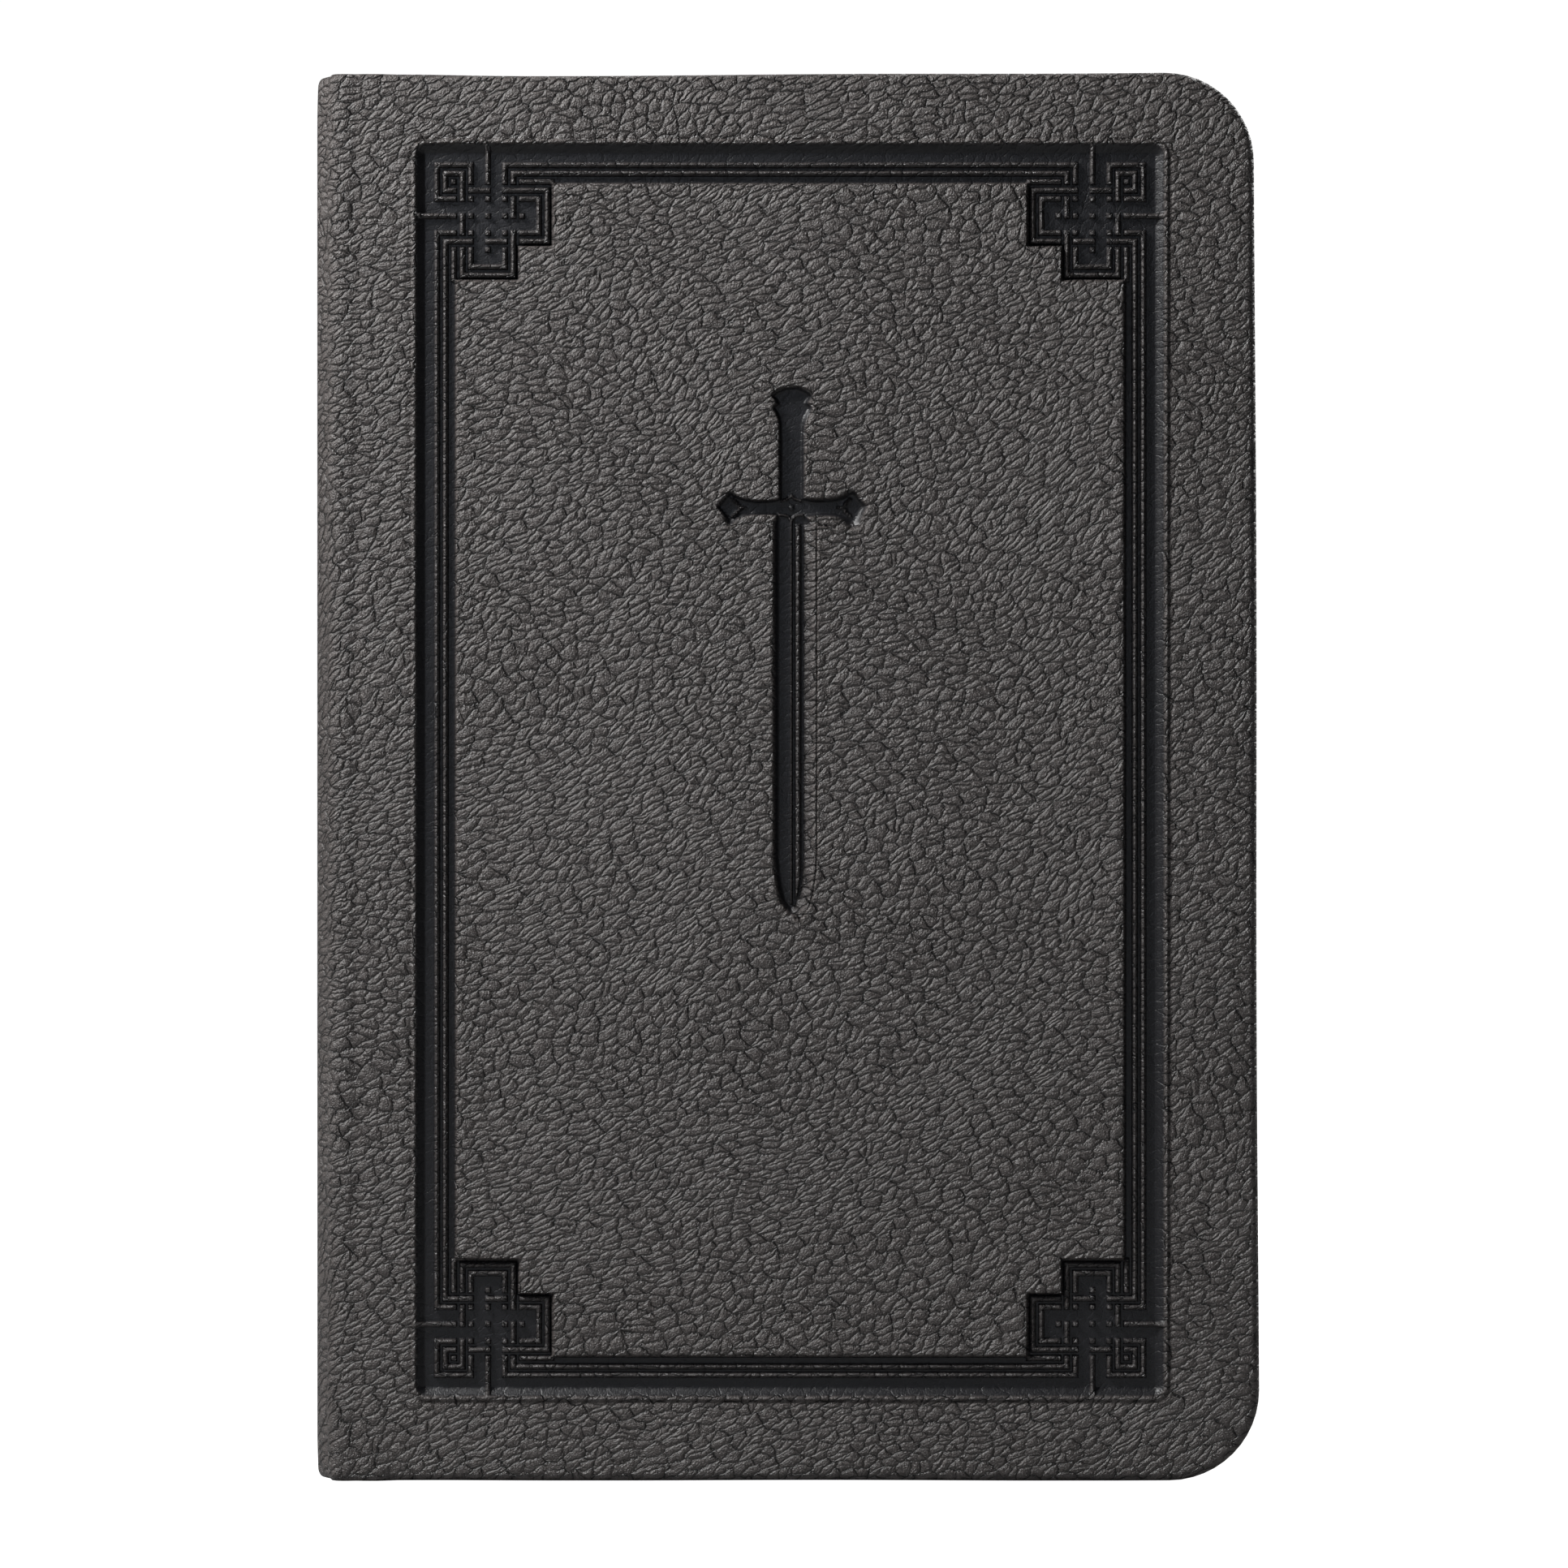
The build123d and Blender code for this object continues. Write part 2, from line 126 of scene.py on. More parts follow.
@dataclass
class MeshParts:
    """Collects points and faces in millimetres, with the leather's flat coordinates and how pressed it is."""

    points: list[Array] = field(default_factory=list)
    flat: list[Array] = field(default_factory=list)
    pressed: list[Array] = field(default_factory=list)
    faces: list[list[int]] = field(default_factory=list)
    count: int = 0

    def add(self, points: Array, flat: Array, pressed: Array | float = 0.0) -> Array:
        """Adds points of any array shape.

        Args:
            points: X, Y and Z in the last axis.
            flat: where each point lies on the flat sheet, in the last axis.
            pressed: how far the tool pressed each point, from 0 to 1, lowered where a lighter colour is
                painted as light.

        Returns:
            The points' numbers, in the same shape without the last axis.
        """
        shape = points.shape[:-1]
        total = int(np.prod(shape))
        self.points.append(points.reshape(-1, 3))
        self.flat.append(np.broadcast_to(flat, (*shape, 2)).reshape(-1, 2))
        self.pressed.append(np.broadcast_to(pressed, shape).reshape(-1))
        numbers = np.arange(self.count, self.count + total).reshape(shape)
        self.count += total
        return numbers

    def rows(self, numbers: Array, closed: bool = False) -> None:
        """Joins neighbouring rows of points with four-sided faces.

        Args:
            numbers: the points' numbers, row by row.
            closed: whether each row's end joins its start.
        """
        wide = np.hstack([numbers, numbers[:, :1]]) if closed else numbers
        quads = np.stack([wide[:-1, :-1], wide[:-1, 1:], wide[1:, 1:], wide[1:, :-1]], -1)
        self.faces += quads.reshape(-1, 4).tolist()

    def zip(self, first: Array, second: Array) -> None:
        """Joins two lines that may differ in their count of points with triangles, matched by length.

        Args:
            first: the numbers of one line's points.
            second: the numbers of the other's, in the same direction.
        """
        places = np.concatenate(self.points)
        first, second = first.ravel(), second.ravel()
        shares = []
        for line in (first, second):
            steps = np.linalg.norm(np.diff(places[line], axis=0), axis=1)
            shares.append(np.concatenate([[0], np.cumsum(steps)]) / max(steps.sum(), 1e-9))
        a = b = 0
        while a < len(first) - 1 or b < len(second) - 1:
            at_end = b == len(second) - 1
            if a < len(first) - 1 and (at_end or shares[0][a + 1] <= shares[1][b + 1]):
                self.faces.append([int(first[a]), int(first[a + 1]), int(second[b])])
                a += 1
            else:
                self.faces.append([int(first[a]), int(second[b + 1]), int(second[b])])
                b += 1

    def face(self, numbers: Array) -> None:
        """Adds one flat face."""
        self.faces.append([int(n) for n in numbers.ravel()])

    def shell(self, sides: Sequence[Array]) -> None:
        """Joins the two grids of a thin sheet's faces, and closes it round their rims.

        Args:
            sides: the numbers of each face's points, row by row.
        """
        for side in sides:
            self.rows(side)
        rims = [np.concatenate([s[0], s[1:, -1], s[-1, -2::-1], s[-2:0:-1, 0]]) for s in sides]
        self.rows(np.stack(rims), closed=True)

    def build(self, name: str, material: bpy.types.Material, close: bool = True) -> bpy.types.Object:
        """Makes the object.

        Args:
            name: the piece's name.
            material: its finish.
            close: whether holes left in it are filled.

        Returns:
            The new object, smooth shaded, with its faces turned outward.
        """
        mesh = bpy.data.meshes.new(name)
        mesh.from_pydata((np.concatenate(self.points) * MM).tolist(), [], self.faces)
        attribute = mesh.attributes.new("pressed", "FLOAT", "POINT")
        attribute.data.foreach_set("value", np.concatenate(self.pressed).astype(np.float32))
        corner_points = np.zeros(len(mesh.loops), np.int32)
        mesh.loops.foreach_get("vertex_index", corner_points)
        layer = mesh.uv_layers.new(name="Flat")
        layer.uv.foreach_set("vector", np.concatenate(self.flat)[corner_points].astype(np.float32).ravel())
        work = bmesh.new()
        work.from_mesh(mesh)
        if close:
            bmesh.ops.holes_fill(work, edges=[edge for edge in work.edges if edge.is_boundary], sides=0)
        bmesh.ops.recalc_face_normals(work, faces=work.faces)
        for one in work.faces:
            one.smooth = True
        for edge in work.edges:
            edge.smooth = not edge.is_manifold or edge.calc_face_angle(0) < SHARP_EDGE
        work.to_mesh(mesh)
        work.free()
        mesh.materials.append(material)
        piece = bpy.data.objects.new(name, mesh)
        bpy.context.scene.collection.objects.link(piece)
        LOG.info("%s: %d faces", name, len(mesh.polygons))
        return piece


def finish_piece(piece: bpy.types.Object, slot: str, *nodes: str) -> bpy.types.Object:
    """Hides the CAD nodes that a piece stands for.

    Args:
        piece: the new piece.
        slot: the record's material slot; not used.
        nodes: the CAD nodes, if it stands for any.

    Returns:
        The same piece.
    """
    if nodes:
        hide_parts(*nodes)
    return piece


def blend_at(piece: bpy.types.Object) -> None:
    """Bakes a piece's placement into its mesh.

    Args:
        piece: the finished piece.
    """
    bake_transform(piece)


# ---------------------------------------------------------------- sizes


@dataclass(frozen=True)
class BookSizes:
    """The places that the pieces share, read from the frame."""

    height: float
    crown_x: float
    edge_x: float
    joint_x: float
    hinge_x: float
    out_y: float
    cover_thickness: float
    pages_low: Array
    pages_high: Array
    corner: float = 11.0
    page_corner: float = 8.0
    skin: float = 1.1
    bend: float = 1.3

    @classmethod
    def from_frame(cls) -> "BookSizes":
        """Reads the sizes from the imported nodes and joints.

        Returns:
            The sizes, in millimetres.
        """
        cover_low, cover_high = corners("front_cover_skin")
        outer_low, outer_high = corners("section_01")
        return cls(
            height=cover_high[2],
            crown_x=corners("spine_skin_front")[0][0],
            edge_x=cover_high[0],
            joint_x=joint_place("front_joint_bend")[0],
            hinge_x=joint_place("front_cover_fold")[0],
            out_y=-cover_low[1],
            cover_thickness=cover_high[1] - cover_low[1],
            pages_low=outer_low,
            pages_high=outer_high,
        )

    @property
    def middle(self) -> float:
        """Height of the book's middle."""
        return self.height / 2

    @property
    def seam_x(self) -> float:
        """Where the leather of a joint strip meets that of the cover, halfway along the strip."""
        return (self.joint_x + self.hinge_x) / 2

    def thickness(self, x: Array) -> Array:
        """Gives the thickness of leather and what is glued in it: thin over the joint, full over the board.

        Args:
            x: places across the cover.

        Returns:
            The thickness at each.
        """
        thin = self.skin + 0.4
        return thin + (self.cover_thickness - thin) * smooth((x - self.seam_x - 0.4) / 2.2)


# ---------------------------------------------------------------- the pressed ornament

# The raised lines of one corner on the grid. A line that ends at 90 runs on along the frame's side.
KNOT: tuple[Polyline, ...] = (
    ((4, 2), (4, 0), (0, 0), (0, 4), (2, 4)),
    ((3, 4), (3, 1), (1, 1), (1, 3), (2, 3)),
    ((4, 3), (6, 3)),
    ((6, -2.3), (6, 2)),
    ((-2.3, 6), (2, 6)),
    ((3, 6), (3, 8)),
    ((9, 4), (9, 6)),
    ((10, 4), (12, 4), (12, 8), (10, 8)),
    ((8, 3), (13, 3), (13, 9), (10, 9)),
    ((4, 10), (4, 12), (8, 12), (8, 10)),
    ((3, 10), (3, 13), (9, 13), (9, 8)),
    ((6, 9), (8, 9)),
    ((2, 8), (0, 8), (0, 90)),
    ((4, 9), (1, 9), (1, 90)),
    ((2, 10), (2, 13.4)),
    ((8, 2), (8, 0), (90, 0)),
    ((9, 2), (9, 1), (90, 1)),
    ((10, 2), (13.4, 2)),
)
KNOT_STUDS: Polyline = ((2, 2), *((i, j) for j in (4, 6, 8) for i in (4, 6, 8)), (10, 6), (6, 10))


@dataclass(frozen=True)
class KnotFrame:
    """The sunk frame with a knot of raised lines in each corner, drawn on a square grid.

    A place on the grid is counted in from the outer raised line, and the four corners mirror each other.
    """

    half_width: float = 43.05
    half_height: float = 73.75
    centre: tuple[float, float] = (0.3, 0.9)
    unit: float = 1.035
    rim: float = 2.55
    inner: float = 2.2
    lobe: float = 9.6
    reach: float = 13.6
    sunk: float = 0.95
    raised: float = 0.64
    outer_slope: float = 1.1
    inner_slope: float = 0.45
    line_foot: float = 0.38
    line_crest: float = 0.22
    rim_round: float = 1.3

    def grid(self, x: Array, z: Array) -> tuple[Array, Array]:
        """Gives the grid place of points measured from the cover's centre."""
        across = (self.half_width - np.abs(x - self.centre[0])) / self.unit
        down = (self.half_height - np.abs(z - self.centre[1])) / self.unit
        return across, down

    def lines(self, end: float) -> Array:
        """Grid places that mesh lines follow, from outside the rim inward.

        Args:
            end: the last place wanted.

        Returns:
            The places in order.
        """
        rim = [-3.9, -3.4, -3.1, -2.99, -2.88, -2.77, -2.64, -2.5, -2.35]
        wall = [-2.2, -1.9, -1.6, -1.42, -1.34, -1.2, -0.7]
        foot, crest = self.line_foot, self.line_crest
        knots = [k + part for k in range(14) for part in (-foot, -crest, 0, crest, foot, 0.5)]
        past = [13.65, 13.85, 14.2, 14.7, 15.4]
        places = np.array(rim + wall + knots[:-1] + past)
        return places[places <= end]

    def line_height(self, i: Array, j: Array) -> Array:
        """Gives the raised lines' share of their full height.

        Args:
            i: grid places across.
            j: grid places down.

        Returns:
            The share at each place, from 0 to 1.
        """
        near = np.full(i.shape, 9.0)
        pieces = [(a, b) for line in KNOT for a, b in zip(line, line[1:])] + [(p, p) for p in KNOT_STUDS]
        for (i0, j0), (i1, j1) in pieces:
            off_i = np.maximum(np.maximum(min(i0, i1) - i, i - max(i0, i1)), 0)
            off_j = np.maximum(np.maximum(min(j0, j1) - j, j - max(j0, j1)), 0)
            near = np.minimum(near, np.maximum(off_i, off_j))
        return np.interp(near, [0, self.line_crest, self.line_foot], [1, 0.8, 0])

    def shape(self, x: Array, z: Array) -> tuple[Array, Array]:
        """Gives how deep the tool pressed, in millimetres, and how smooth it left the leather.

        Args:
            x: distance right of the cover's centre.
            z: distance above the cover's centre.

        Returns:
            Depth, negative where leather is pushed up, and pressed from 0 to 1, lowered on the raised lines,
            which keep part of the grain and get a lighter colour as a painted highlight.
        """
        i, j = self.grid(x, z)
        a, b = i + self.rim, j + self.rim
        turn = self.rim_round
        rounded = turn - np.hypot(np.maximum(turn - a, 0), np.maximum(turn - b, 0))
        outer = np.where((a < turn) & (b < turn), rounded, np.minimum(a, b))
        inner = np.maximum.reduce([
            self.inner - np.minimum(i, j),
            np.minimum(self.reach - i, self.lobe - j),
            np.minimum(self.lobe - i, self.reach - j),
        ])
        wall = np.clip(outer / self.outer_slope, 0, 1)
        floor = (0.25 * smooth(wall) + 0.75 * wall) * smooth(inner / self.inner_slope + 0.5)
        lines = self.line_height(i, j)
        swell = 0.13 * np.exp(-(((inner + 0.9) / 0.9) ** 2)) * (inner < 0)
        crease = 0.16 * np.exp(-(((outer + 0.5) / 0.13) ** 2))
        lip = (0.1 * np.exp(-(((outer + 0.12) / 0.28) ** 2)) - crease) * (inner > 0)
        depth = self.sunk * floor - self.raised * lines * np.minimum(floor * 1.3, 1) - swell - lip
        # The raised lines are left less pressed: they keep part of the grain, and their lighter colour is
        # also a painted highlight on their crests.
        return depth, smooth(outer / 0.3) * smooth(inner / 0.25 + 0.5) * (1 - 0.55 * lines)


@dataclass(frozen=True)
class Sword:
    """A straight sword, point down, pressed into the middle of the cover."""

    centre: tuple[float, float] = (0.45, 32.85)
    sunk: float = 0.95
    blade_half: float = 1.5
    shoulder: float = -41.9
    tip: float = -48.8
    top: float = 14.5
    line_half: float = 0.14
    line_height: float = 0.42

    def outline(self) -> Array:
        """Gives the closed outline, measured from the middle of the guard.

        Returns:
            X and Z of its corners, in order.
        """
        pommel = [(0, 14.4), (0.75, 14.3), (1.45, 14.0), (2.08, 13.6), (1.7, 13.25), (1.38, 12.55)]
        collar = [(1.6, 12.42), (1.95, 12.15), (1.6, 11.6), (1.34, 11.0), (1.2, 10.3), (1.16, 9.0)]
        guard = [(1.16, 1.0), (1.7, 0.72), (2.9, 0.58), (4.6, 0.58), (5.8, 0.8), (6.7, 1.15), (7.4, 1.6)]
        point = [(8.7, 0.1), (7.45, -1.55), (6.7, -1.05), (5.8, -0.75), (4.6, -0.6), (2.9, -0.6)]
        share = np.linspace(0, 1, 9)
        ogive = self.blade_half * np.sqrt(1 - share**1.7)
        fall = self.shoulder + (self.tip - self.shoulder) * share
        blade = [(self.blade_half, -0.75), *zip(ogive.tolist(), fall.tolist())]
        right = pommel + collar + guard + point + blade
        left = [(-x, z) for x, z in right[1:-1]][::-1]
        return np.array(right + left)

    def wall_width(self, px: Array, pz: Array) -> Array:
        """Gives how wide the pressed edge slopes: wide beside the blade, and widest on its right.

        Args:
            px: distance right of the guard's middle.
            pz: distance above it.

        Returns:
            The slope's width at each place.
        """
        beside_blade = smooth((-1.0 - pz) / 1.2)
        right = smooth((px + 0.4) / 1.6)
        hilt = 0.42 + 0.22 * right + 0.45 * np.exp(-((px - 8.0) ** 2 + (pz + 1.2) ** 2) / 1.2)
        hilt = hilt + 0.35 * np.exp(-((px - 2.1) ** 2 + (pz - 11.5) ** 2) / 2.0)
        return hilt * (1 - beside_blade) + (0.85 + 0.7 * right) * beside_blade

    def marks(self) -> tuple[Polyline, ...]:
        """Gives the thin raised lines: the guard's boss, its two ends and the middle of the blade.

        Returns:
            The lines, each as its corners.
        """
        half_top = ((1.25, 0.85), (0.75, 0.95), (0.3, 1.15))
        half_low = ((1.6, -0.85), (0.9, -0.9), (0.35, -1.1))
        end = ((7.2, 1.1), (6.6, 0.5), (6.3, 0), (6.6, -0.5), (7.2, -1.05))
        lines = [((0, -1.5), (0, self.tip + 0.6))]
        for half, peak in ((half_top, 1.5), (half_low, -1.55)):
            lines.append((*((-x, z) for x, z in half), (0, peak), *half[::-1]))
        for mirror in (-1, 1):
            lines.append(tuple((mirror * x, z) for x, z in end))
            lines.append(((mirror * 5.7, 0), (mirror * 6.3, 0)))
        return tuple(lines)

    def shape(self, x: Array, z: Array) -> tuple[Array, Array]:
        """Gives how deep the tool pressed, in millimetres, and how smooth it left the leather.

        Args:
            x: distance right of the cover's centre.
            z: distance above the cover's centre.

        Returns:
            Depth and pressed, as KnotFrame.shape gives them. Pressed is lowered on the rib and the raised
            marks, which keep part of the grain and get a painted highlight, and on the blade's right wall,
            which gets painted light.
        """
        depth, pressed = np.zeros(x.shape), np.zeros(x.shape)
        px, pz = x - self.centre[0], z - self.centre[1]
        close = (np.abs(px) < 12) & (pz < self.top + 4) & (pz > self.tip - 4)
        px, pz = px[close], pz[close]
        if not px.size:
            return depth, pressed
        line = self.outline()
        away = to_lines(px, pz, [np.vstack([line, line[:1]])])
        inside = within(px, pz, line)
        away = np.where(inside, -away, away)
        slope = self.wall_width(px, pz)
        floor = smooth(1 - away / slope)
        marks = smooth(1 - to_lines(px, pz, self.marks()) / self.line_half / 1.6) * (away < 0)
        stud = np.sqrt(np.clip(1 - (np.hypot(px, pz) / 0.38) ** 2, 0, 1)) * 0.28
        rib = smooth(1.25 - np.abs(px - 0.8) / 0.36) * smooth(-(away + 0.1) / 0.25) * (pz < -1.9)
        swell = 0.08 * np.exp(-(((away - slope - 0.3) / 0.5) ** 2))
        lit_wall = smooth((px + 0.2) / 0.8) * smooth((-1.6 - pz) / 1.0)
        crease = 0.2 * lit_wall * np.exp(-(((away - slope - 0.05) / 0.11) ** 2))
        raised = np.maximum.reduce([self.line_height * marks, stud, 0.4 * rib])
        depth[close] = self.sunk * floor - raised * (away < 0) - swell + crease
        # The rib and the raised marks are left less pressed: they keep part of the grain, and their lighter
        # colour is also a painted highlight.
        smoothness = smooth(floor * 1.6) * (1 - 0.45 * rib) * (1 - 0.4 * marks)
        # Painted light: the blade's right wall, which faces the lamp, is drawn lighter, with grain.
        lit_wall_grain_and_painted_light = 0.62 * lit_wall * smooth(away / 0.12)
        pressed[close] = smoothness * (1 - lit_wall_grain_and_painted_light)
        return depth, pressed


def to_lines(x: Array, z: Array, lines: Sequence[Any]) -> Array:
    """Gives each point's distance to the nearest of some polylines.

    Args:
        x: the points' first coordinates.
        z: their second ones.
        lines: each a sequence of places.

    Returns:
        The distances.
    """
    nearest = np.full(x.shape, 1e9)
    for line in lines:
        for (x0, z0), (x1, z1) in zip(line, line[1:]):
            run = np.array([x1 - x0, z1 - z0])
            share = np.clip(((x - x0) * run[0] + (z - z0) * run[1]) / max(run @ run, 1e-12), 0, 1)
            nearest = np.minimum(nearest, np.hypot(x - x0 - share * run[0], z - z0 - share * run[1]))
    return nearest


def within(x: Array, z: Array, line: Array) -> Array:
    """Tells which points lie inside a closed outline.

    Args:
        x: the points' first coordinates.
        z: their second ones.
        line: the outline's corners, the last joined to the first.

    Returns:
        True for each point inside.
    """
    inside = np.zeros(x.shape, bool)
    for (x0, z0), (x1, z1) in zip(line, np.roll(line, -1, axis=0)):
        crosses = (z0 > z) != (z1 > z)
        if crosses.any():
            inside ^= crosses & (x < (x1 - x0) * (z - z0) / (z1 - z0 + 1e-12) + x0)
    return inside


# ---------------------------------------------------------------- finishes


def add_node(
    tree: bpy.types.NodeTree, kind: str, inputs: dict[Any, Any] | None = None, **settings: Any
) -> bpy.types.Node:
    """Adds a shader node.

    Args:
        tree: the material's nodes.
        kind: Blender's name for the node, without its first word.
        inputs: values or output sockets for its inputs, by name or number.
        settings: its own properties.

    Returns:
        The new node.
    """
    node = tree.nodes.new("ShaderNode" + kind)
    for name, value in settings.items():
        setattr(node, name, value)
    for name, value in (inputs or {}).items():
        if isinstance(value, bpy.types.NodeSocket):
            tree.links.new(value, node.inputs[name])
        else:
            node.inputs[name].default_value = value
    return node


def new_material(name: str, roughness: float, ior: float = 1.5, **sockets: Any) -> tuple[Any, Any, Any]:
    """Starts a material.

    Args:
        name: its name.
        roughness: of the whole surface.
        ior: index of refraction.
        sockets: other uniform values of the shader, with _ for a space.

    Returns:
        The material, its node tree and its surface shader.
    """
    material = bpy.data.materials.new(name)
    material.use_nodes = True
    tree = material.node_tree
    shader = tree.nodes["Principled BSDF"]
    shader.inputs["Roughness"].default_value = roughness
    shader.inputs["IOR"].default_value = ior
    for socket, value in sockets.items():
        shader.inputs[socket.replace("_", " ")].default_value = value
    return material, tree, shader


def wire(tree: bpy.types.NodeTree, colour: Any, height: Any, relief: float) -> None:
    """Joins a colour and a relief to the surface shader.

    Args:
        tree: the material's nodes.
        colour: the socket that gives the colour.
        height: the socket that gives the relief's height.
        relief: the relief's depth in millimetres.
    """
    shader = tree.nodes["Principled BSDF"]
    tree.links.new(colour, shader.inputs["Base Color"])
    bump = add_node(tree, "Bump", {"Height": height, "Distance": relief * MM, "Strength": 1.0})
    tree.links.new(bump.outputs["Normal"], shader.inputs["Normal"])


@dataclass(frozen=True)
class Grain:
    """One order of the leather's grain: cells with creases between them.

    Attributes:
        length: of a cell, in millimetres.
        width: of a cell.
        crease: half width of the crease, as a share of a cell.
        dome: how far from its middle the cell goes on falling.
        depth: how strong the order is in the relief.
        painted_crease_shade: how dark the creases are drawn, as painted shade.
        shade: how dark a cell's rim is drawn, as painted shade.
    """

    length: float
    width: float
    crease: float
    dome: float
    depth: float
    painted_crease_shade: float
    shade: float


@dataclass(frozen=True)
class GrainedLeather:
    """Polyurethane imitation leather, its grain moulded by a roller and the ornament pressed with a hot tool.

    The pattern lies on the flat sheet, so that it runs on over the spine. Each drift bends it: waves per
    millimetre, detail and reach in millimetres.
    """

    name: str = "leather_grained_pressed"
    crest: str = "514C4A"
    # Painted shade: the valley colour darkens the creases and the cells' rims.
    valley: str = "141313"
    pressed: str = "151518"
    grains: tuple[Grain, ...] = (
        Grain(2.2, 1.0, 0.07, 0.62, 0.8, 0.8, 0.36),
        Grain(0.8, 0.5, 0.08, 0.62, 0.13, 0.4, 0.12),
    )
    drifts: tuple[tuple[float, float, float], ...] = ((0.03, 1.0, 9.0), (0.3, 1.0, 1.1), (1.1, 2.0, 0.55))
    run: float = 24.0
    relief: float = 0.38
    pore: float = 0.2
    shoulder: float = 0.26

    def bend(self, tree: bpy.types.NodeTree, flat: Any) -> Any:
        """Bends the flat sheet's coordinates, so that the rows of cells wander.

        Args:
            tree: the material's nodes.
            flat: the socket that gives the place on the flat sheet.

        Returns:
            The socket that gives the bent place.
        """
        moved = flat
        for scale, detail, reach in self.drifts:
            noise = add_node(
                tree, "TexNoise", {"Vector": flat, "Scale": scale, "Detail": detail}, noise_dimensions="2D"
            ).outputs["Color"]
            centred = add_node(tree, "VectorMath", {0: noise, 1: (-0.5,) * 3}, operation="ADD").outputs[0]
            amount = add_node(tree, "VectorMath", {0: centred, "Scale": reach}, operation="SCALE").outputs[0]
            moved = add_node(tree, "VectorMath", {0: moved, 1: amount}, operation="ADD").outputs[0]
        return moved

    def cells(self, tree: bpy.types.NodeTree, flat: Any, moved: Any, grain: Grain) -> tuple[Any, Any]:
        """Makes one order of the grain.

        Args:
            tree: the material's nodes.
            flat: the socket that gives the place on the flat sheet.
            moved: the socket that gives the bent place.
            grain: the order's sizes.

        Returns:
            The sockets for its height and for its painted shade, in the creases and at the cells' rims.
        """
        turned, size = (0, 0, math.radians(self.run)), (grain.length, grain.width, 1)
        laid = add_node(
            tree, "Mapping", {"Vector": moved, "Rotation": turned, "Scale": size}, vector_type="TEXTURE"
        ).outputs[0]
        edge = add_node(
            tree,
            "TexVoronoi",
            {"Vector": laid, "Scale": 1.0},
            feature="DISTANCE_TO_EDGE",
            voronoi_dimensions="2D",
        ).outputs["Distance"]
        middle = add_node(
            tree,
            "TexVoronoi",
            {"Vector": laid, "Scale": 1.0, "Smoothness": 0.85},
            feature="SMOOTH_F1",
            voronoi_dimensions="2D",
        ).outputs["Distance"]
        coarseness = 0.8 / grain.length
        patchy = add_node(
            tree, "TexNoise", {"Vector": flat, "Scale": coarseness, "Detail": 2.0}, noise_dimensions="2D"
        ).outputs["Fac"]
        strength = add_node(
            tree,
            "MapRange",
            {"Value": patchy, "From Min": 0.36, "From Max": 0.58, "To Min": 0.25, "To Max": 1.0},
        ).outputs["Result"]
        dome, crease, shoulder = (
            add_node(
                tree,
                "MapRange",
                {"Value": value, "From Max": end, "To Min": start, "To Max": 0.0},
                interpolation_type="SMOOTHSTEP",
            ).outputs["Result"]
            for value, end, start in (
                (middle, grain.dome, 1.0), (edge, grain.crease, -1.0), (edge, self.shoulder, -0.58)
            )
        )
        cut = add_node(tree, "Math", {0: crease, 1: strength}, operation="MULTIPLY").outputs[0]
        stepped = add_node(tree, "Math", {0: dome, 1: 0.3, 2: shoulder}, operation="MULTIPLY_ADD").outputs[0]
        both = add_node(tree, "Math", {0: stepped, 1: cut}).outputs[0]
        height = add_node(tree, "Math", {0: both, 1: grain.depth}, operation="MULTIPLY").outputs[0]
        # Painted shade: each cell is drawn darker towards its rim, and darker still in its creases.
        rim = add_node(
            tree, "Math", {0: dome, 1: -grain.shade, 2: grain.shade}, operation="MULTIPLY_ADD"
        ).outputs[0]
        dark = add_node(tree, "Math", {0: cut, 1: -grain.painted_crease_shade, 2: rim}, operation="MULTIPLY_ADD").outputs[0]
        return height, dark

    def make(self) -> bpy.types.Material:
        """Makes the material.

        Returns:
            The material.
        """
        # The eye gets satin pebbles, a few of them to the centimetre, between sharp creases that run up to
        # the right, with painted shade in the creases and at the pebbles' rims, and a smooth near-black where
        # the hot tool flattened them.
        material, tree, shader = new_material(self.name, 0.5, 1.46)
        flat = add_node(tree, "UVMap", uv_map="Flat").outputs[0]
        moved = self.bend(tree, flat)
        coarse, fine = (self.cells(tree, flat, moved, grain) for grain in self.grains)
        height = add_node(tree, "Math", {0: coarse[0], 1: fine[0]}).outputs[0]
        painted_cell_shade = add_node(tree, "Math", {0: coarse[1], 1: fine[1]}, operation="MAXIMUM").outputs[0]
        pores, tooth, rumple, mottle = (
            add_node(
                tree, "TexNoise", {"Vector": place, "Scale": scale, "Detail": detail}, noise_dimensions="2D"
            ).outputs["Fac"]
            for place, scale, detail in (
                (flat, 1 / self.pore, 2.0),
                (flat, 0.9 / self.pore, 2.0),
                (moved, 0.42, 1.0),
                (flat, 0.07, 5.0),
            )
        )
        rolling = add_node(tree, "Math", {0: rumple, 1: 0.3, 2: height}, operation="MULTIPLY_ADD").outputs[0]
        pressed = add_node(tree, "Attribute", attribute_name="pressed").outputs["Fac"]
        grain_share, tooth_share = (
            add_node(tree, "MapRange", {"Value": pressed, "To Min": free, "To Max": flat_share}).outputs[0]
            for free, flat_share in ((1.0, 0.06), (0.5, 0.1))
        )
        kept = add_node(tree, "Math", {0: rolling, 1: grain_share}, operation="MULTIPLY").outputs[0]
        whole = add_node(
            tree, "Math", {0: tooth, 1: tooth_share, 2: kept}, operation="MULTIPLY_ADD"
        ).outputs[0]
